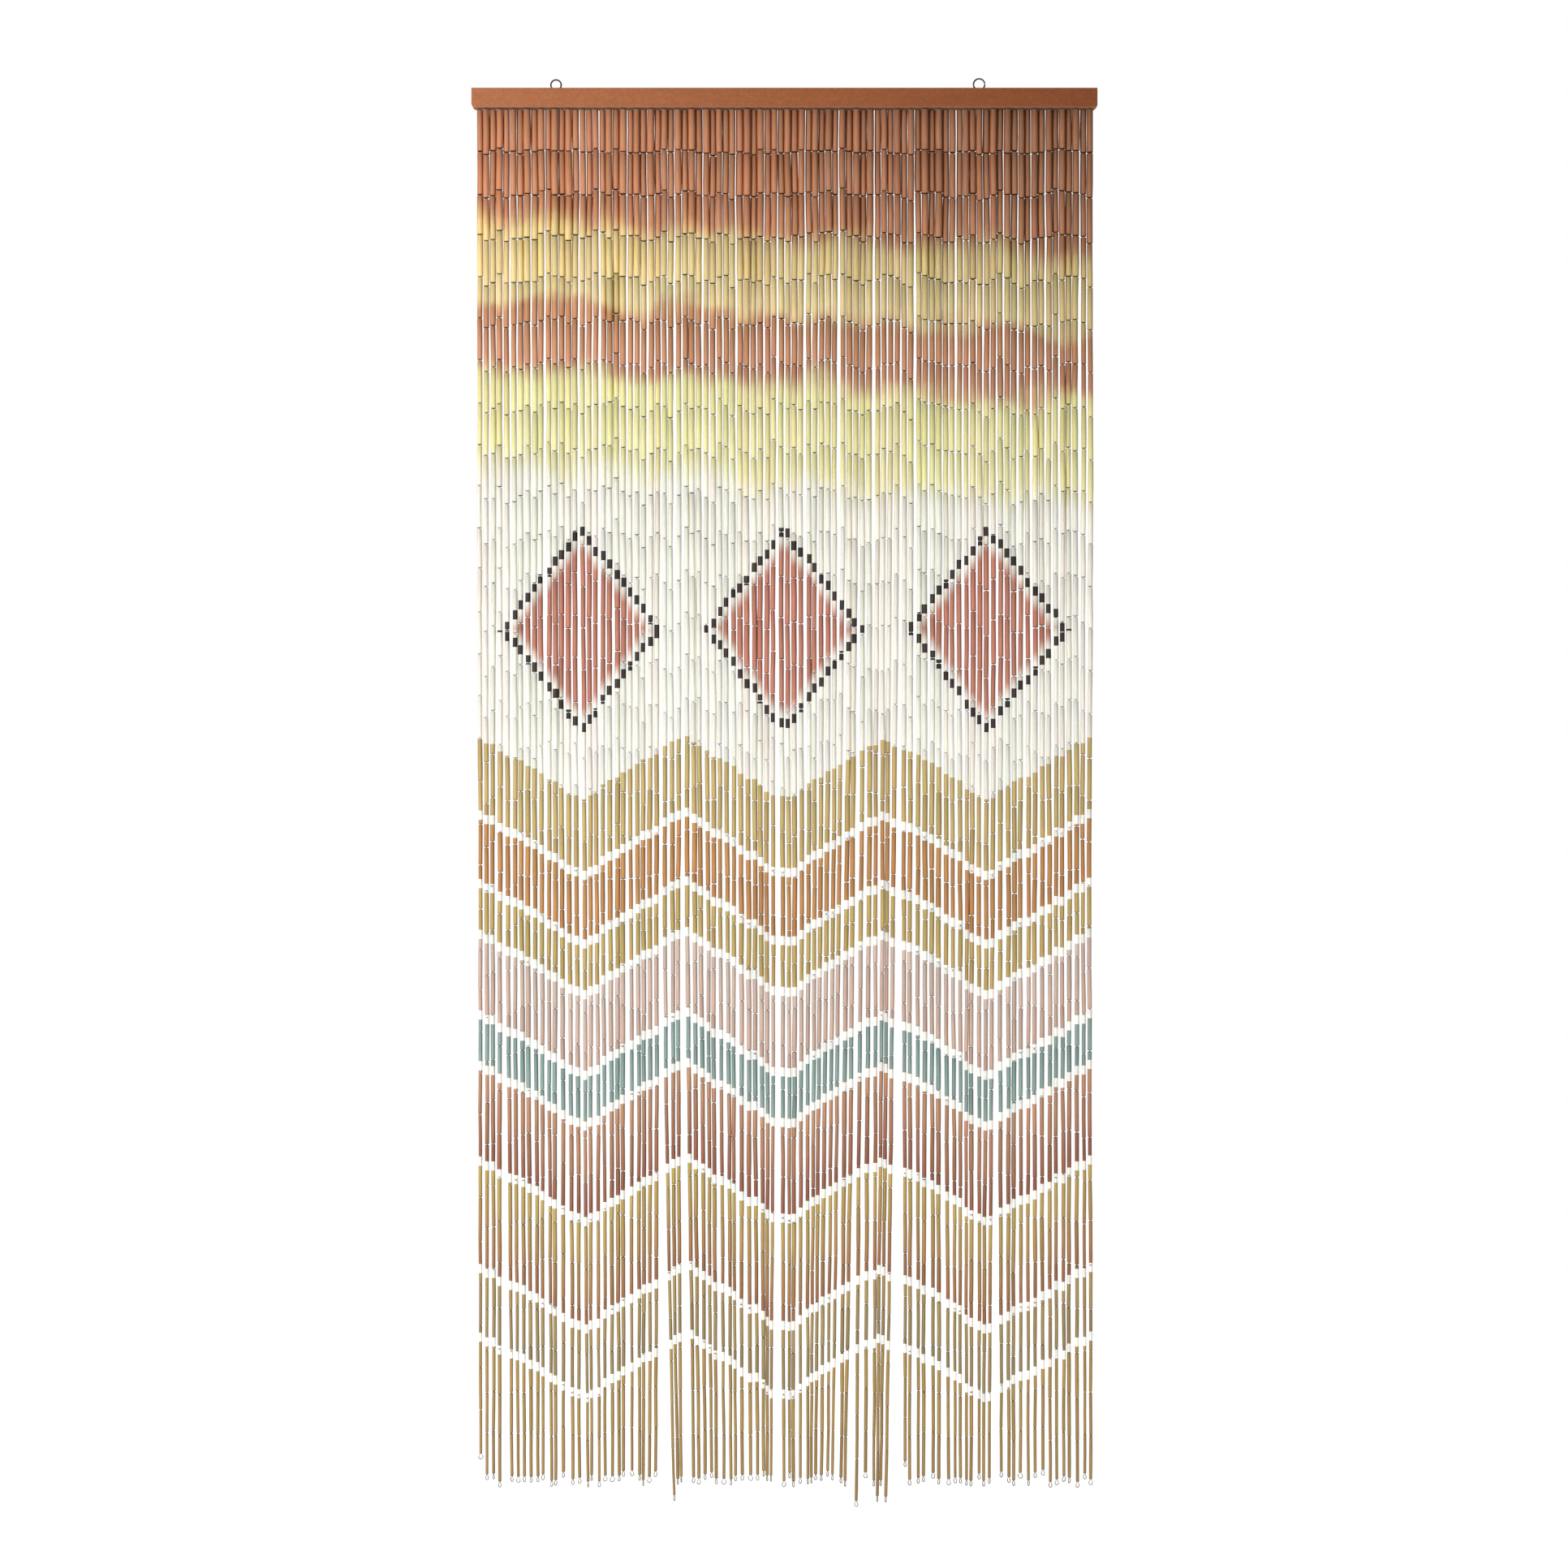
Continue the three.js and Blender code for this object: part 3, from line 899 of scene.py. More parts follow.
@dataclass
class Joints:
    """The joints between the tubes of every strand, from the top hook to the end loop.

    Its sizes are in millimetres. The points, widths and gaps that it gives are in metres.
    """

    hang: Hang
    tubes: int = 32
    top_room: float = 1.9
    gap: float = 0.9
    gap_spread: float = 0.8
    length_spread: float = 0.060
    length_drift: float = 0.026
    top_lean: float = 2.2
    low_lean: float = 0.5
    # The power that makes wide gaps and far leans rare
    rarity: int = 3
    calm_after: float = 3.0
    top_stagger: float = 1.7
    depth_stray: float = 0.3
    hook_stray: float = 0.4
    clump_sizes: tuple[int, int] = (2, 7)
    clumping: float = 0.1
    clump_fall: int = 3
    crowding: float = 0.75
    settling_rounds: int = 5
    settling_share: float = 3
    strand_width_spread: float = 0.11
    tube_width_spread: float = 0.07
    least_gap: float = 0.15
    seed: int = 90

    def __post_init__(self) -> None:
        """Places the joints, and eases neighbours apart where they would touch."""
        draw = np.random.default_rng(self.seed)
        count, rows = self.hang.count, self.tubes + 1
        self.points = np.zeros((count, rows, 3))
        self.widths = np.zeros((count, self.tubes))
        clumps = self._clumps(draw)
        wider = draw.uniform(0, 1, (count, rows)) ** self.rarity
        self.gaps = self.gap * (1 + self.gap_spread * wider)
        for number in range(1, count + 1):
            self._hang_strand(number, draw)
        self._settle(clumps)
        self._ease_apart()
        self.points *= MM
        self.widths *= MM
        self.gaps *= MM

    def calm(self, row: int) -> float:
        """Gives how much a row of joints is held by the rail, from 1 down to 0."""
        return math.exp(-(((max(row, 1) - 1) / self.calm_after) ** 2))

    def _hang_strand(self, number: int, draw: np.random.Generator) -> None:
        """Places the joints of one strand and draws its tubes' widths.

        Args:
            number: The strand's number.
            draw: The source of chance.
        """
        hang = self.hang
        drift = self.length_drift * (2 * hang.chance(number, Trait.SIDE) - 1)
        lengths = 1 + self.length_spread * draw.uniform(-1, 1, self.tubes)
        lengths += drift * np.linspace(-1, 1, self.tubes)
        shares = np.concatenate(([0.0], np.cumsum(lengths) / lengths.sum()))
        top = hang.rail_bottom - self.top_room + self.gaps[number - 1, 0] / 2
        end = hang.end_height(number) - self.gaps[number - 1, -1] / 2
        strand_width = 1 + self.strand_width_spread * draw.uniform(-1, 1)
        side = -1 if number % 2 == 0 else 1
        for row, share in enumerate(shares):
            x, y = hang.middle(number, float(share))
            calm = self.calm(row)
            if row == 0:
                x += self.hook_stray * draw.uniform(-1, 1)
                y += side * self.top_stagger / 2
            elif row < self.tubes:
                askew = draw.uniform(-1, 1)
                x += self.low_lean * askew
                x += self.top_lean * calm * askew * abs(askew) ** self.rarity
                y += side * self.top_stagger * calm + self.depth_stray * draw.uniform(-1, 1)
            self.points[number - 1, row] = (x, y, top + (end - top) * share)
        for row in range(self.tubes):
            usual = hang.tube_width((shares[row] + shares[row + 1]) / 2)
            spread = 1 + self.tube_width_spread * draw.uniform(-1, 1)
            self.widths[number - 1, row] = usual * strand_width * spread

    def _clumps(self, draw: np.random.Generator) -> np.ndarray:
        """Draws neighbouring strands together in small groups, as hung strands settle.

        Args:
            draw: The source of chance.

        Returns:
            How far each strand moves to the right, in millimetres.
        """
        moves: list[float] = []
        while len(moves) < self.hang.count:
            size = int(draw.integers(*self.clump_sizes))
            middle = (size - 1) / 2
            moves += [(middle - place) * self.hang.pitch * self.clumping for place in range(size)]
        return np.array(moves[: self.hang.count])

    def _settle(self, clumps: np.ndarray) -> None:
        """Lets neighbours share the room at the top by their widths, then clumps them.

        Args:
            clumps: How far each strand would move to the right at the rail, in millimetres.
        """
        for row in range(self.tubes + 1):
            width = self.widths[:, max(row - 1, 0)]
            calm = self.calm(row)
            for _ in range(self.settling_rounds):
                spare = np.diff(self.points[:, row, 0]) - (width[1:] + width[:-1]) / 2
                push = (spare - spare.mean()) * calm / self.settling_share
                self.points[:-1, row, 0] += push
                self.points[1:, row, 0] -= push
            fall = (1 - row / self.tubes) ** self.clump_fall
            self.points[:, row, 0] += clumps * (1 - self.crowding * calm) * fall

    def _ease_apart(self) -> None:
        """Moves neighbouring joints apart in depth where their tubes would overlap."""
        for row in range(self.tubes + 1):
            width = self.widths[:, max(row - 1, 0)]
            for right in range(1, self.hang.count):
                left = right - 1
                a, b = self.points[left, row], self.points[right, row]
                need = (width[left] + width[right]) / 2 + self.least_gap
                across, deep = b[0] - a[0], b[1] - a[1]
                if across * across + deep * deep >= need * need:
                    continue
                wanted = math.sqrt(max(need * need - across * across, 0))
                push = (wanted - abs(deep)) / 2 * (1 if deep >= 0 else -1)
                self.points[left, row, 1] -= push
                self.points[right, row, 1] += push


def upright_axes(direction: np.ndarray, turn: np.ndarray) -> np.ndarray:
    """Gives each copy's own axes: Z against its direction, X and Y turned round it.

    Args:
        direction: Unit vectors that point down the copies, one row a copy.
        turn: How far each copy is turned round its own length, in radians.

    Returns:
        Three columns a copy: its X, Y and Z.
    """
    z = -direction
    x = np.cross(np.array([0.0, 1.0, 0.0]), z)
    x /= np.linalg.norm(x, axis=1)[:, None]
    y = np.cross(z, x)
    cos, sin = np.cos(turn)[:, None], np.sin(turn)[:, None]
    return np.stack((x * cos + y * sin, y * cos - x * sin, z), axis=2)


# Sub-assemblies


@dataclass
class BambooTubes:
    """The tubes of every strand, in panels of neighbouring strands.

    Attributes:
        joints: Where the tubes' ends are.
        finish: The painted bamboo.
    """

    joints: Joints
    finish: bpy.types.Material
    panels: int = 6
    sides: int = 10
    width: float = 6.4 * MM
    length: float = 59.8 * MM
    wall: float = 1.3 * MM
    # Share of the wall past which points count as the bore, which the finish paints dark as shade
    bore_wall_share: float = 0.7
    rim: float = 0.45 * MM
    # Share of the tube's radius from which a point counts as lying on its outside
    outside: float = 0.9
    closeness: float = 0.1 * MM
    bow: float = 0.28 * MM
    knuckle: float = 1.07
    knuckle_place: float = -0.32
    form_shares: tuple[float, float, float] = (0.5, 0.35, 0.15)
    seed: int = 7

    def model(self, form: TubeForm) -> Piece:
        """Models one hollow tube with bevelled rims, round its own middle.

        Args:
            form: Whether it is straight, bowed or has a knuckle.

        Returns:
            The tube.
        """
        leave_nothing_selected()
        bpy.ops.mesh.primitive_cylinder_add(
            vertices=self.sides, radius=self.width / 2, depth=self.length, end_fill_type="NGON"
        )
        tube = bpy.context.object
        half = self.length / 2
        edit(tube)
        pick(tube, "FACE", lambda face: abs(face.normal.z) > FACING)
        bpy.ops.mesh.inset(thickness=self.wall, use_even_offset=True)
        bpy.ops.mesh.bridge_edge_loops()
        outer = self.width / 2 * self.outside

        def on_rim(edge: bmesh.types.BMEdge) -> bool:
            """Says whether an edge runs round an outer rim."""
            flat = all(abs(abs(vert.co.z) - half) < self.closeness for vert in edge.verts)
            return flat and all(vert.co.xy.length > outer for vert in edge.verts)

        pick(tube, "EDGE", on_rim)
        bpy.ops.mesh.bevel(offset=self.rim, segments=1, affect="EDGES")
        height = self.knuckle_place * half if form is TubeForm.KNUCKLED else 0.0
        skin = outer * math.cos(math.pi / self.sides)
        pick(tube, "FACE", lambda face: face.calc_center_median().xy.length > skin)
        bpy.ops.mesh.bisect(plane_co=(0, 0, height), plane_no=(0, 0, 1))
        pick(tube, "VERT", lambda vert: abs(vert.co.z - height) < MM and vert.co.xy.length > outer)
        if form is TubeForm.BOWED:
            bpy.ops.transform.translate(value=(self.bow, 0, 0))
        if form is TubeForm.KNUCKLED:
            scale = (self.knuckle, self.knuckle, 1)
            bpy.ops.transform.resize(value=scale, center_override=(0, 0, height))
        tube = close_edit(tube, "tube_" + form.name.lower())
        for face in tube.data.polygons:
            face.use_smooth = abs(face.normal.z) < FACING
        return tube

    def build(self) -> None:
        """Lays all the tubes and gives each its own tone and paint."""
        models = [self.model(form) for form in TubeForm]
        draw = np.random.default_rng(self.seed)
        strands = np.array_split(np.arange(self.joints.hang.count), self.panels)
        for number, group in enumerate(strands, start=1):
            self._panel(number, group, models, draw)
        remove(models)

    def _panel(
        self, number: int, strands: np.ndarray, models: Sequence[Piece], draw: np.random.Generator
    ) -> None:
        """Lays and dresses the tubes of some strands.

        Args:
            number: The panel's number, from 1 at the left.
            strands: Which strands it holds, counted from 0.
            models: The modelled tubes to choose from.
            draw: The source of chance.
        """
        joints, hang = self.joints, self.joints.hang
        tops = joints.points[strands, :-1].reshape(-1, 3)
        feet = joints.points[strands, 1:].reshape(-1, 3)
        widths = joints.widths[strands].reshape(-1) / self.width
        places = np.array([hang.place_of(int(strand) + 1) * MM for strand in strands])
        strays = np.array([hang.chance(int(strand) + 1, Trait.PAINT) - 0.5 for strand in strands])
        spans = np.linalg.norm(feet - tops, axis=1)
        down = (feet - tops) / spans[:, None]
        axes = upright_axes(down, draw.uniform(0, FULL_TURN, len(tops)))
        gaps = joints.gaps[strands]
        lengths = spans - (gaps[:, :-1] + gaps[:, 1:]).reshape(-1) / 2
        axes *= np.stack((widths, widths, lengths / self.length), axis=1)[:, None, :]
        shift = (gaps[:, :-1] - gaps[:, 1:]).reshape(-1, 1) / 4
        origins = (tops + feet) / 2 + down * shift
        traits = np.repeat(np.stack((places, strays), axis=1), joints.tubes, axis=0)
        tones = draw.uniform(0, 1, len(tops))
        forms = draw.choice(len(models), len(tops), p=self.form_shares)
        panels = []
        for index, model in enumerate(models):
            own = forms == index
            panel, points = lay_copies(model.name, model, origins[own], axes[own])
            self._paint(panel, points, traits[own], tones[own])
            panels.append(panel)
        piece = join(panels, f"bamboo_tubes_{number}")
        dress(piece, self.finish, Slot.BAMBOO)
        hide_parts(STRANDS_NODE)

    def _paint(
        self, panel: Piece, points: np.ndarray, traits: np.ndarray, tones: np.ndarray
    ) -> None:
        """Stores where each point lies in the painted design and along its tube.

        Args:
            panel: The laid tubes.
            points: The modelled tube's own points.
            traits: Each tube's place across the design, in metres, and its strand's
                chance number, from -0.5 to 0.5.
            tones: Each tube's tone, from 0 to 1.
        """
        mesh = panel.data
        down = -read(mesh.vertices, "co", float, 3).reshape(len(tones), len(points), 3)[:, :, 2]
        # Points in the bore, which the finish paints near-black as painted shade
        in_bore = np.linalg.norm(points[:, :2], axis=1) < self.width / 2 - self.wall * self.bore_wall_share
        along = 0.5 - points[:, 2] / self.length
        paint = (traits[:, :1], down, traits[:, 1:])
        tube = (along[None, :], tones[:, None], in_bore[None, :].astype(float))
        for name, values in (("paint", paint), ("tube", tube)):
            layer = mesh.attributes.new(name, "FLOAT_VECTOR", "POINT")
            layer.data.foreach_set("vector", np.stack(np.broadcast_arrays(*values), axis=2).ravel())


@dataclass(frozen=True)
class Teardrop:
    """A wire loop whose top is pinched to a neck.

    Attributes:
        across: Outside width of the loop.
        wire: Width of the wire.
        neck: How much the pinched top is drawn up.
        steps: Steps round the loop.
        sides: Sides of the wire.
        pinches: Height as a share of the width, and how narrow the loop gets above it.
    """

    across: float
    wire: float
    neck: float
    steps: int
    sides: int
    pinches: tuple[tuple[float, float], ...] = ((0.1, 0.82), (0.3, 0.55))

    def model(self, name: str) -> Piece:
        """Models the loop round its own middle.

        Args:
            name: The model's name.

        Returns:
            The loop, upright in the XZ plane with its neck at the top.
        """
        leave_nothing_selected()
        bpy.ops.mesh.primitive_torus_add(
            major_radius=(self.across - self.wire) / 2,
            minor_radius=self.wire / 2,
            major_segments=self.steps,
            minor_segments=self.sides,
            rotation=(QUARTER_TURN, 0, 0),
        )
        loop = close_edit(bpy.context.object, name)
        edit(loop)
        for share, narrow in self.pinches:
            pick(loop, "VERT", lambda vert, low=share * self.across: vert.co.z > low)
            bpy.ops.transform.resize(value=(narrow, 1, 1), center_override=(0, 0, 0))
            bpy.ops.transform.translate(value=(0, 0, self.neck / 2))
        loop = close_edit(loop, name)
        for face in loop.data.polygons:
            face.use_smooth = True
        return loop


@dataclass
class WireWork:
    """The wire: links between the tubes, hooks at the top, loops at the ends.

    Attributes:
        joints: Where the tubes' ends are.
        finish: The galvanised wire.
    """

    joints: Joints
    finish: bpy.types.Material
    panels: int = 6
    link: Teardrop = Teardrop(2.0 * MM, 0.5 * MM, 0.9 * MM, 8, 3)
    link_sink: float = 0.6 * MM
    hook: Teardrop = Teardrop(2.6 * MM, 0.5 * MM, 1.8 * MM, 10, 5)
    round_loop: Teardrop = Teardrop(8.8 * MM, 1.2 * MM, 0.9 * MM, 20, 6)
    drop_loop: Teardrop = Teardrop(7.0 * MM, 1.2 * MM, 2.8 * MM, 20, 6)
    round_share: float = 0.5
    loop_room: float = 0.5 * MM
    least_shown: float = 0.2
    hanging_wire: float = 1.1 * MM
    hanging_drop: float = 1.2 * MM
    hanging_beyond: float = 5 * MM
    hanging_sides: int = 8
    staples: int = 8
    staple_wire: float = 1.0 * MM
    staple_room: float = 0.1 * MM
    staple_sink: float = 0.05 * MM
    staple_steps: int = 12
    staple_sides: int = 6
    seed: int = 11

    def build(self) -> None:
        """Lays all the wire."""
        pieces = [*self._links(), self._hooks(), self._end_loops(), self._hanging_wire()]
        for piece in pieces:
            dress(piece, self.finish, Slot.STEEL_WIRE)
            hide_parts(STRANDS_NODE)

    def _links(self) -> list[Piece]:
        """Lays two linked loops at each joint between tubes.

        Returns:
            One piece for each panel of strands.
        """
        model = self.link.model("link")
        draw = np.random.default_rng(self.seed)
        pieces = []
        strands = np.array_split(np.arange(self.joints.hang.count), self.panels)
        for number, group in enumerate(strands, start=1):
            spots = self.joints.points[group]
            at = spots[:, 1:-1].reshape(-1, 3)
            above = (spots[:, 1:-1] - spots[:, :-2]).reshape(-1, 3)
            below = (spots[:, 2:] - spots[:, 1:-1]).reshape(-1, 3)
            above /= np.linalg.norm(above, axis=1)[:, None]
            below /= np.linalg.norm(below, axis=1)[:, None]
            turn = draw.uniform(0, math.pi, len(at))
            lower = upright_axes(-below, turn + QUARTER_TURN)
            axes = np.concatenate((upright_axes(above, turn), lower))
            sink = self.link_sink / 2
            origins = np.concatenate((at - above * sink, at + below * sink))
            pieces.append(lay_copies(f"wire_links_{number}", model, origins, axes)[0])
        remove([model])
        return pieces

    def _hooks(self) -> Piece:
        """Lays the hook of each strand over the hanging wire.

        Returns:
            The hooks as one piece.
        """
        model = self.hook.model("hook")
        origins = self.joints.points[:, 0].copy()
        origins[:, 1] = 0
        origins[:, 2] = self.joints.hang.rail_bottom * MM - self.hanging_drop
        upward = np.tile(np.array([0.0, 0.0, 1.0]), (len(origins), 1))
        axes = upright_axes(upward, np.full(len(origins), QUARTER_TURN))
        piece, _ = lay_copies("top_hooks", model, origins, axes)
        remove([model])
        return piece

    def _end_loops(self) -> Piece:
        """Lays the loop under each strand's last tube, edge-on where neighbours are close.

        Returns:
            The loops as one piece.
        """
        hang = self.joints.hang
        numbers = range(1, hang.count + 1)
        pieces = []
        for form in (self.round_loop, self.drop_loop):
            is_drop = form is self.drop_loop
            chosen = [
                number
                for number in numbers
                if (hang.chance(number, Trait.LOOP_FORM) > self.round_share) is is_drop
            ]
            model = form.model("loop")
            origins = np.array([self._loop_place(number, form) for number in chosen])
            turns = np.array([self._loop_turn(number, form) for number in chosen])
            downward = np.tile(np.array([0.0, 0.0, -1.0]), (len(chosen), 1))
            pieces.append(lay_copies("end_loops", model, origins, upright_axes(downward, turns))[0])
            remove([model])
        return join(pieces, "end_loops")

    def _loop_place(self, number: int, form: Teardrop) -> tuple[float, float, float]:
        """Gives the middle of a strand's end loop, whose neck ends inside the last tube.

        Args:
            number: The strand's number.
            form: The loop.

        Returns:
            The point, in metres.
        """
        hang = self.joints.hang
        x, y, _ = self.joints.points[number - 1, -1]
        neck_top = (hang.end_height(number) + hang.loop_overlap) * MM
        return x, y, neck_top - (form.across / 2 + form.neck)

    def _loop_turn(self, number: int, form: Teardrop) -> float:
        """Gives how far a strand's end loop is turned, edge-on where room is short.

        Args:
            number: The strand's number.
            form: The loop.

        Returns:
            The angle round the strand, in radians.
        """
        hang = self.joints.hang
        free = hang.room_at_end(number) * MM - form.wire - self.loop_room
        shown = min(1.0, free / form.across) * (0.5 + 0.5 * hang.chance(number, Trait.LOOP_SHOWN))
        side = 1 if hang.chance(number, Trait.SIDE) > 0.5 else -1
        return side * math.acos(max(self.least_shown, shown))

    def _hanging_wire(self) -> Piece:
        """Models the straight wire under the rail, and the staples that hold it.

        Returns:
            The wire and its staples as one piece.
        """
        hang = self.joints.hang
        level = hang.rail_bottom * MM - self.hanging_drop
        leave_nothing_selected()
        bpy.ops.mesh.primitive_cylinder_add(
            vertices=self.hanging_sides,
            radius=self.hanging_wire / 2,
            depth=hang.row_width * MM + 2 * self.hanging_beyond,
            rotation=(0, QUARTER_TURN, 0),
            location=(0, 0, level),
        )
        wire = close_edit(bpy.context.object, "hanging_wire")
        edit(wire)
        for side in (-1, 1):
            pick(wire, "FACE", lambda face, side=side: face.normal.x * side > FACING)
            bent_up = (side * self.hanging_wire / 2, 0, MM)
            bpy.ops.mesh.extrude_region_move(TRANSFORM_OT_translate={"value": bent_up})
        parts = [close_edit(wire, "hanging_wire")]
        for step in range(self.staples):
            share = (step + 0.5) / self.staples
            left = hang.place_of(round(share * (hang.count - 1)) + 1)
            parts.append(self._staple((left + hang.pitch / 2) * MM, level))
        piece = join(parts, "hanging_wire")
        for face in piece.data.polygons:
            face.use_smooth = True
        return piece

    def _staple(self, x: float, level: float) -> Piece:
        """Models one staple: half a ring under the wire, with its two legs in the rail.

        Args:
            x: Its place along the rail.
            level: Height of the hanging wire's middle.

        Returns:
            The staple.
        """
        leave_nothing_selected()
        bpy.ops.mesh.primitive_torus_add(
            major_radius=(self.hanging_wire + self.staple_wire) / 2 + self.staple_room,
            minor_radius=self.staple_wire / 2,
            major_segments=self.staple_steps,
            minor_segments=self.staple_sides,
            rotation=(0, QUARTER_TURN, 0),
            location=(x, 0, level),
        )
        staple = close_edit(bpy.context.object, "staple")
        edit(staple)
        bpy.ops.mesh.select_all(action="SELECT")
        bpy.ops.mesh.bisect(
            plane_co=(x, 0, level), plane_no=(0, 0, 1), use_fill=True, clear_outer=True
        )
        pick(staple, "FACE", lambda face: face.normal.z > FACING)
        rise = self.hanging_drop - self.staple_sink
        bpy.ops.mesh.extrude_region_move(TRANSFORM_OT_translate={"value": (0, 0, rise)})
        return close_edit(staple, "staple")


@dataclass
class ScrewEye:
    """One screw eye: a bent ring on a pointed shank in the rail's top.

    Attributes:
        node: The solid that it stands for.
        finish: The plated steel.
        split: Whether the ring's open cut shows at its right side.
    """

    node: str
    finish: bpy.types.Material
    split: bool
    wire: float = 2.3 * MM
    steps: int = 48
    sides: int = 12
    shank: float = 2.8 * MM
    shank_top: float = 0.7
    point: float = 4 * MM
    point_end: float = 0.08
    sharpest_bend: float = 40.0

    def build(self) -> None:
        """Models the ring and the shank in their place in the frame."""
        low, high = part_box(self.node)
        middle = (low[0] + high[0]) / 2
        across = high[0] - low[0]
        height = high[2] - across / 2
        leave_nothing_selected()
        bpy.ops.mesh.primitive_torus_add(
            major_radius=(across - self.wire) / 2,
            minor_radius=self.wire / 2,
            major_segments=self.steps,
            minor_segments=self.sides,
            rotation=(QUARTER_TURN, 0, 0),
            location=(middle, 0, height),
        )
        ring = close_edit(bpy.context.object, self.node + "_ring")
        if self.split:
            self._open(ring, middle, height)
        shank = self._shank(middle, height - across / 2 + self.wire / 2, low[2])
        piece = join([ring, shank], self.node + "_steel")
        select_only([piece])
        bpy.ops.object.shade_smooth_by_angle(angle=math.radians(self.sharpest_bend))
        dress(piece, self.finish, Slot.STEEL_WIRE)
        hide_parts(self.node)

    def _open(self, ring: Piece, middle: float, height: float) -> None:
        """Opens one step of the ring at its right side and closes the wire's two ends.

        Args:
            ring: The closed ring.
            middle: Its middle's place along the rail.
            height: Its middle's height.
        """

        def in_cut(face: bmesh.types.BMFace) -> bool:
            """Says whether a face lies in the step above three o'clock."""
            spot = face.calc_center_median()
            return 0 < math.atan2(spot.z - height, spot.x - middle) < FULL_TURN / self.steps

        edit(ring)
        pick(ring, "FACE", in_cut)
        bpy.ops.mesh.delete(type="FACE")
        pick(ring, "EDGE", lambda edge: edge.is_boundary)
        bpy.ops.mesh.fill_holes(sides=self.sides)
        close_edit(ring, ring.name)

    def _shank(self, middle: float, top: float, tip: float) -> Piece:
        """Models the pointed shank.

        Args:
            middle: Its place along the rail.
            top: Height of its upper end, inside the ring's wire.
            tip: Height of its point.

        Returns:
            The shank.
        """
        long = top - tip - self.point
        leave_nothing_selected()
        bpy.ops.mesh.primitive_cylinder_add(
            vertices=self.sides,
            radius=self.shank / 2,
            depth=long,
            location=(middle, 0, top - long / 2),
        )
        shank = close_edit(bpy.context.object, "shank")
        edit(shank)
        pick(shank, "FACE", lambda face: face.normal.z > FACING)
        narrow = (self.shank_top, self.shank_top, 1)
        bpy.ops.transform.resize(value=narrow, center_override=(middle, 0, top))
        pick(shank, "FACE", lambda face: face.normal.z < -FACING)
        bpy.ops.mesh.extrude_region_move(TRANSFORM_OT_translate={"value": (0, 0, -self.point)})
        thin = (self.point_end, self.point_end, 1)
        bpy.ops.transform.resize(value=thin, center_override=(middle, 0, tip))
        return close_edit(shank, "shank")


@dataclass(frozen=True)
class SoftLight:
    """One tall soft light that faces the curtain.

    Attributes:
        name: The light's name.
        place: The light's middle.
        size: Its width and height.
        power: Its power in watts.
    """

    name: str
    place: tuple[float, float, float]
    size: tuple[float, float]
    power: float

    def build(self) -> None:
        """Makes the light."""
        data = bpy.data.lights.new(self.name, "AREA")
        data.shape = "RECTANGLE"
        data.size = self.size[0]
        data.size_y = self.size[1]
        data.energy = self.power
        light = bpy.data.objects.new(self.name, data)
        light.location = self.place
        aim = Vector((0, 0, self.place[2])) - Vector(self.place)
        light.rotation_euler = aim.to_track_quat("-Z", "Y").to_euler()
        bpy.context.scene.collection.objects.link(light)


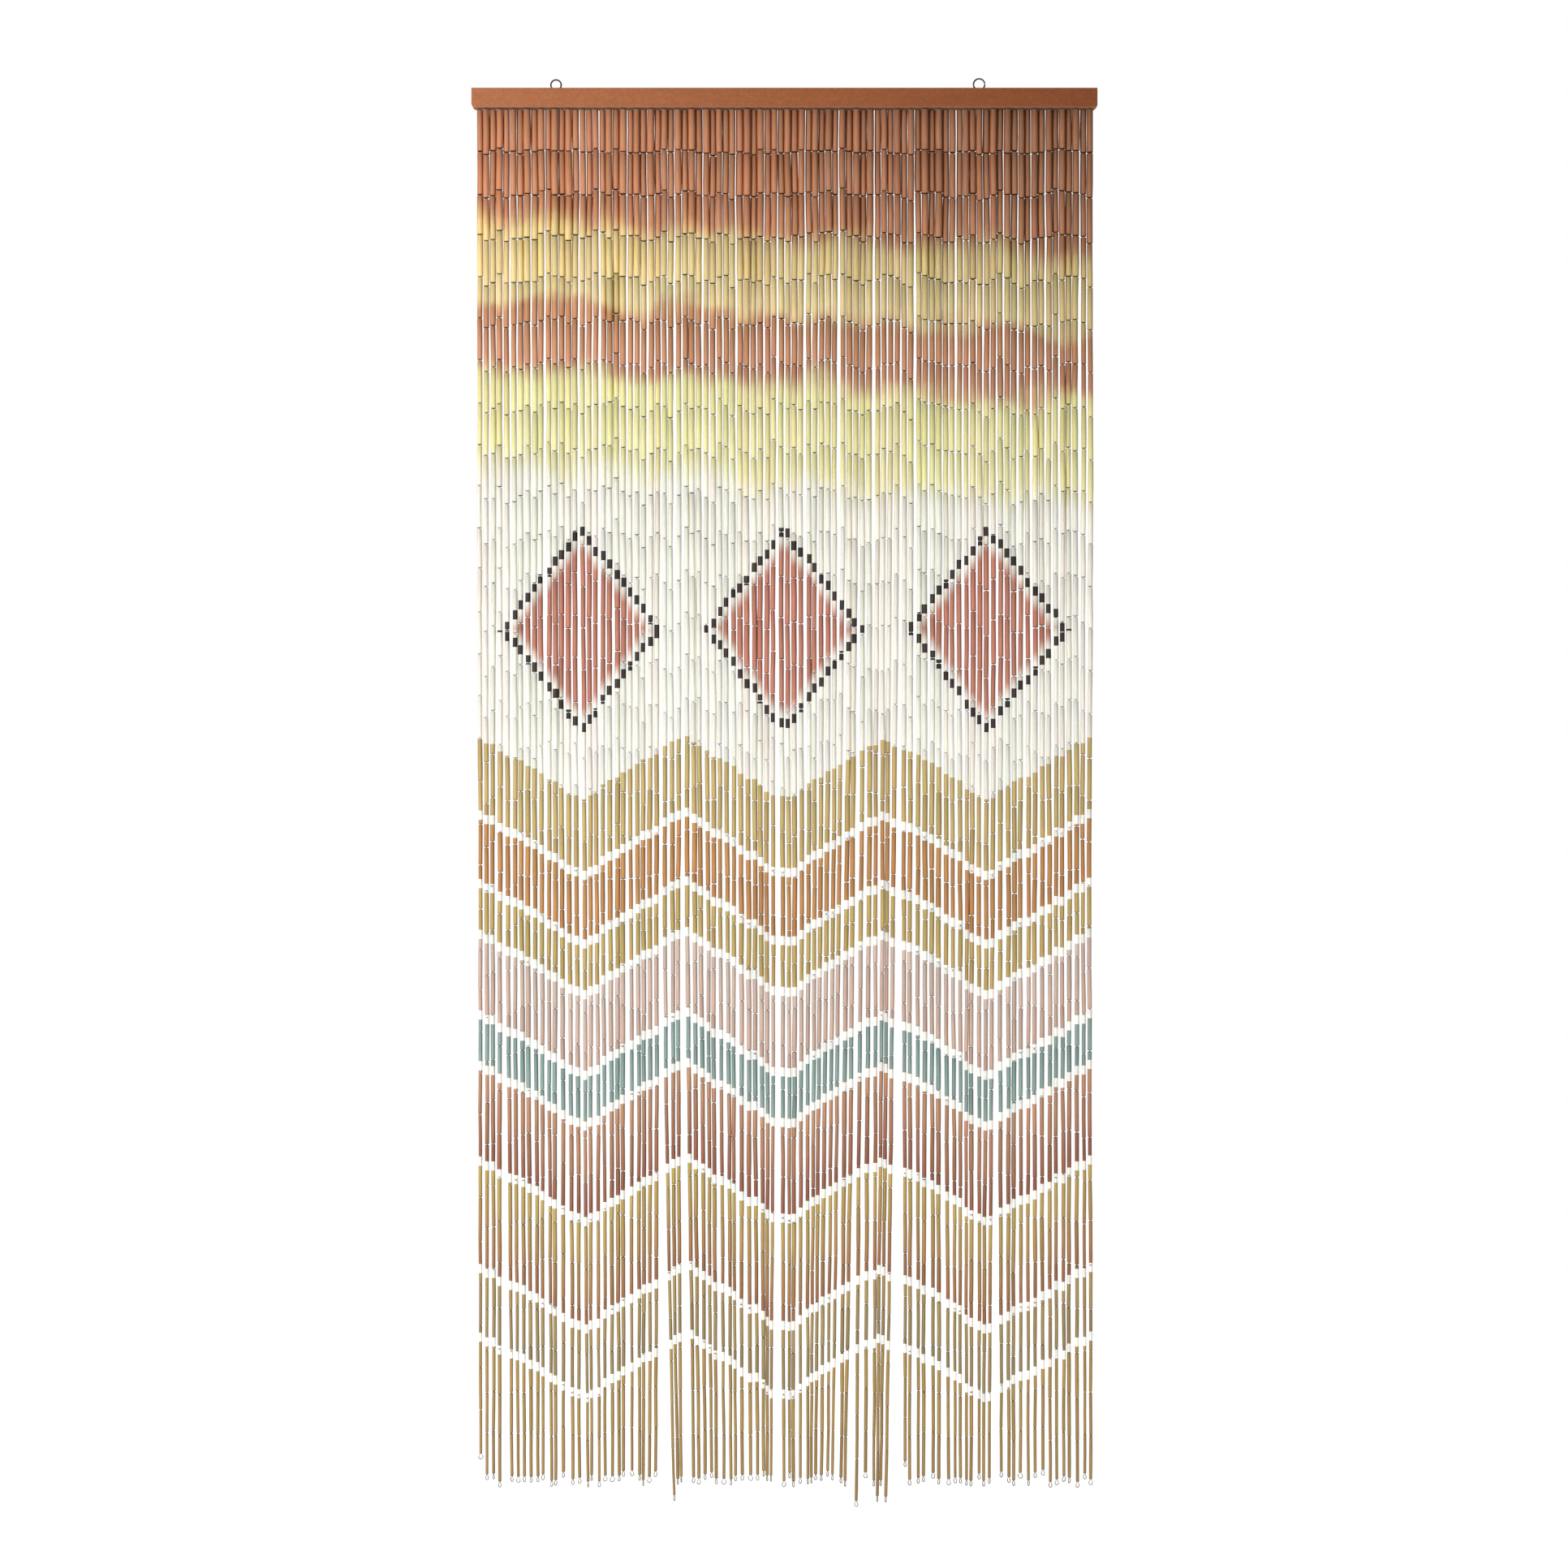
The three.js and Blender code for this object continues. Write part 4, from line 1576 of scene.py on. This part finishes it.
@dataclass
class Studio:
    """The camera, the plain pale floor and the soft light."""

    distance: float = 4.0
    lens: float = 63.75
    sensor: float = 36.0
    farthest: float = 60.0
    camera_height: float = -1.0072
    camera_side: float = -0.0006
    floor_height: float = -2.16
    floor_size: float = 5.0
    floor_colour: str = "#f4f3f1"
    floor_roughness: float = 0.9
    floor_glow: float = 0.68
    ambient: float = 0.36
    lights: tuple[SoftLight, ...] = (
        SoftLight("key", (-2.2, -2.2, -0.8), (0.8, 2.4), 70.0),
        SoftLight("fill", (2.6, -3.2, -0.8), (1.6, 2.4), 8.0),
    )

    def build(self) -> None:
        """Makes the camera, the lights, the world and the floor."""
        self._camera()
        self._world()
        for light in self.lights:
            light.build()
        self._floor()

    def _camera(self) -> None:
        """Makes the camera, level with the curtain's middle and square to it."""
        data = bpy.data.cameras.new("camera")
        data.lens = self.lens
        data.sensor_width = self.sensor
        data.clip_end = self.farthest
        camera = bpy.data.objects.new("camera", data)
        camera.location = (self.camera_side, -self.distance, self.camera_height)
        camera.rotation_euler = (QUARTER_TURN, 0, 0)
        bpy.context.scene.collection.objects.link(camera)
        bpy.context.scene.camera = camera

    def _world(self) -> None:
        """Makes a white surround that lights softly and shows as plain white."""
        scene = bpy.context.scene
        scene.view_settings.view_transform = "Standard"
        world = bpy.data.worlds.new("white_room")
        scene.world = world
        world.use_nodes = True
        tree = world.node_tree
        tree.nodes.clear()
        seen = add(tree, "Background", {0: WHITE, 1: 1.0})
        soft = add(tree, "Background", {0: WHITE, 1: self.ambient})
        by_camera = add(tree, "LightPath").outputs["Is Camera Ray"]
        either = add(tree, "MixShader", {0: by_camera, 1: soft, 2: seen})
        add(tree, "OutputWorld", {0: either})

    def _floor(self) -> None:
        """Makes the pale floor, whose matt glow meets the white surround without an edge."""
        leave_nothing_selected()
        bpy.ops.mesh.primitive_plane_add(size=self.floor_size, location=(0, 0, self.floor_height))
        floor = close_edit(bpy.context.object, "floor")
        material, tree = new_material("pale_floor")
        look = {"Base Color": self.floor_colour, "Roughness": self.floor_roughness}
        glow = {"Emission Color": WHITE, "Emission Strength": self.floor_glow}
        add(tree, "OutputMaterial", {"Surface": add(tree, "BsdfPrincipled", {**look, **glow})})
        floor.data.materials.append(material)


def main() -> None:
    """Builds the curtain's looks round its frame."""
    logging.basicConfig(level=logging.INFO, format="%(name)s: %(message)s")
    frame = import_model()
    leave_nothing_selected()
    Studio().build()

    bamboo = PaintedBamboo().build()
    wire = Steel("galvanised_wire", "#9b9994", "#65625d").build()
    plated = Steel("plated_steel", "#78624f", "#46372c").build()
    rail = frame["nodes"][RAIL_NODE]
    rail.data.materials.clear()
    rail.data.materials.append(PaintedPine().build())
    LOG.info("%s keeps its solid and gets painted pine", RAIL_NODE)

    joints = Joints(Hang())
    BambooTubes(joints, bamboo).build()
    WireWork(joints, wire).build()
    ScrewEye("screw_eye_left", plated, split=False).build()
    ScrewEye("screw_eye_right", plated, split=True).build()


if __name__ == "__main__":
    main()
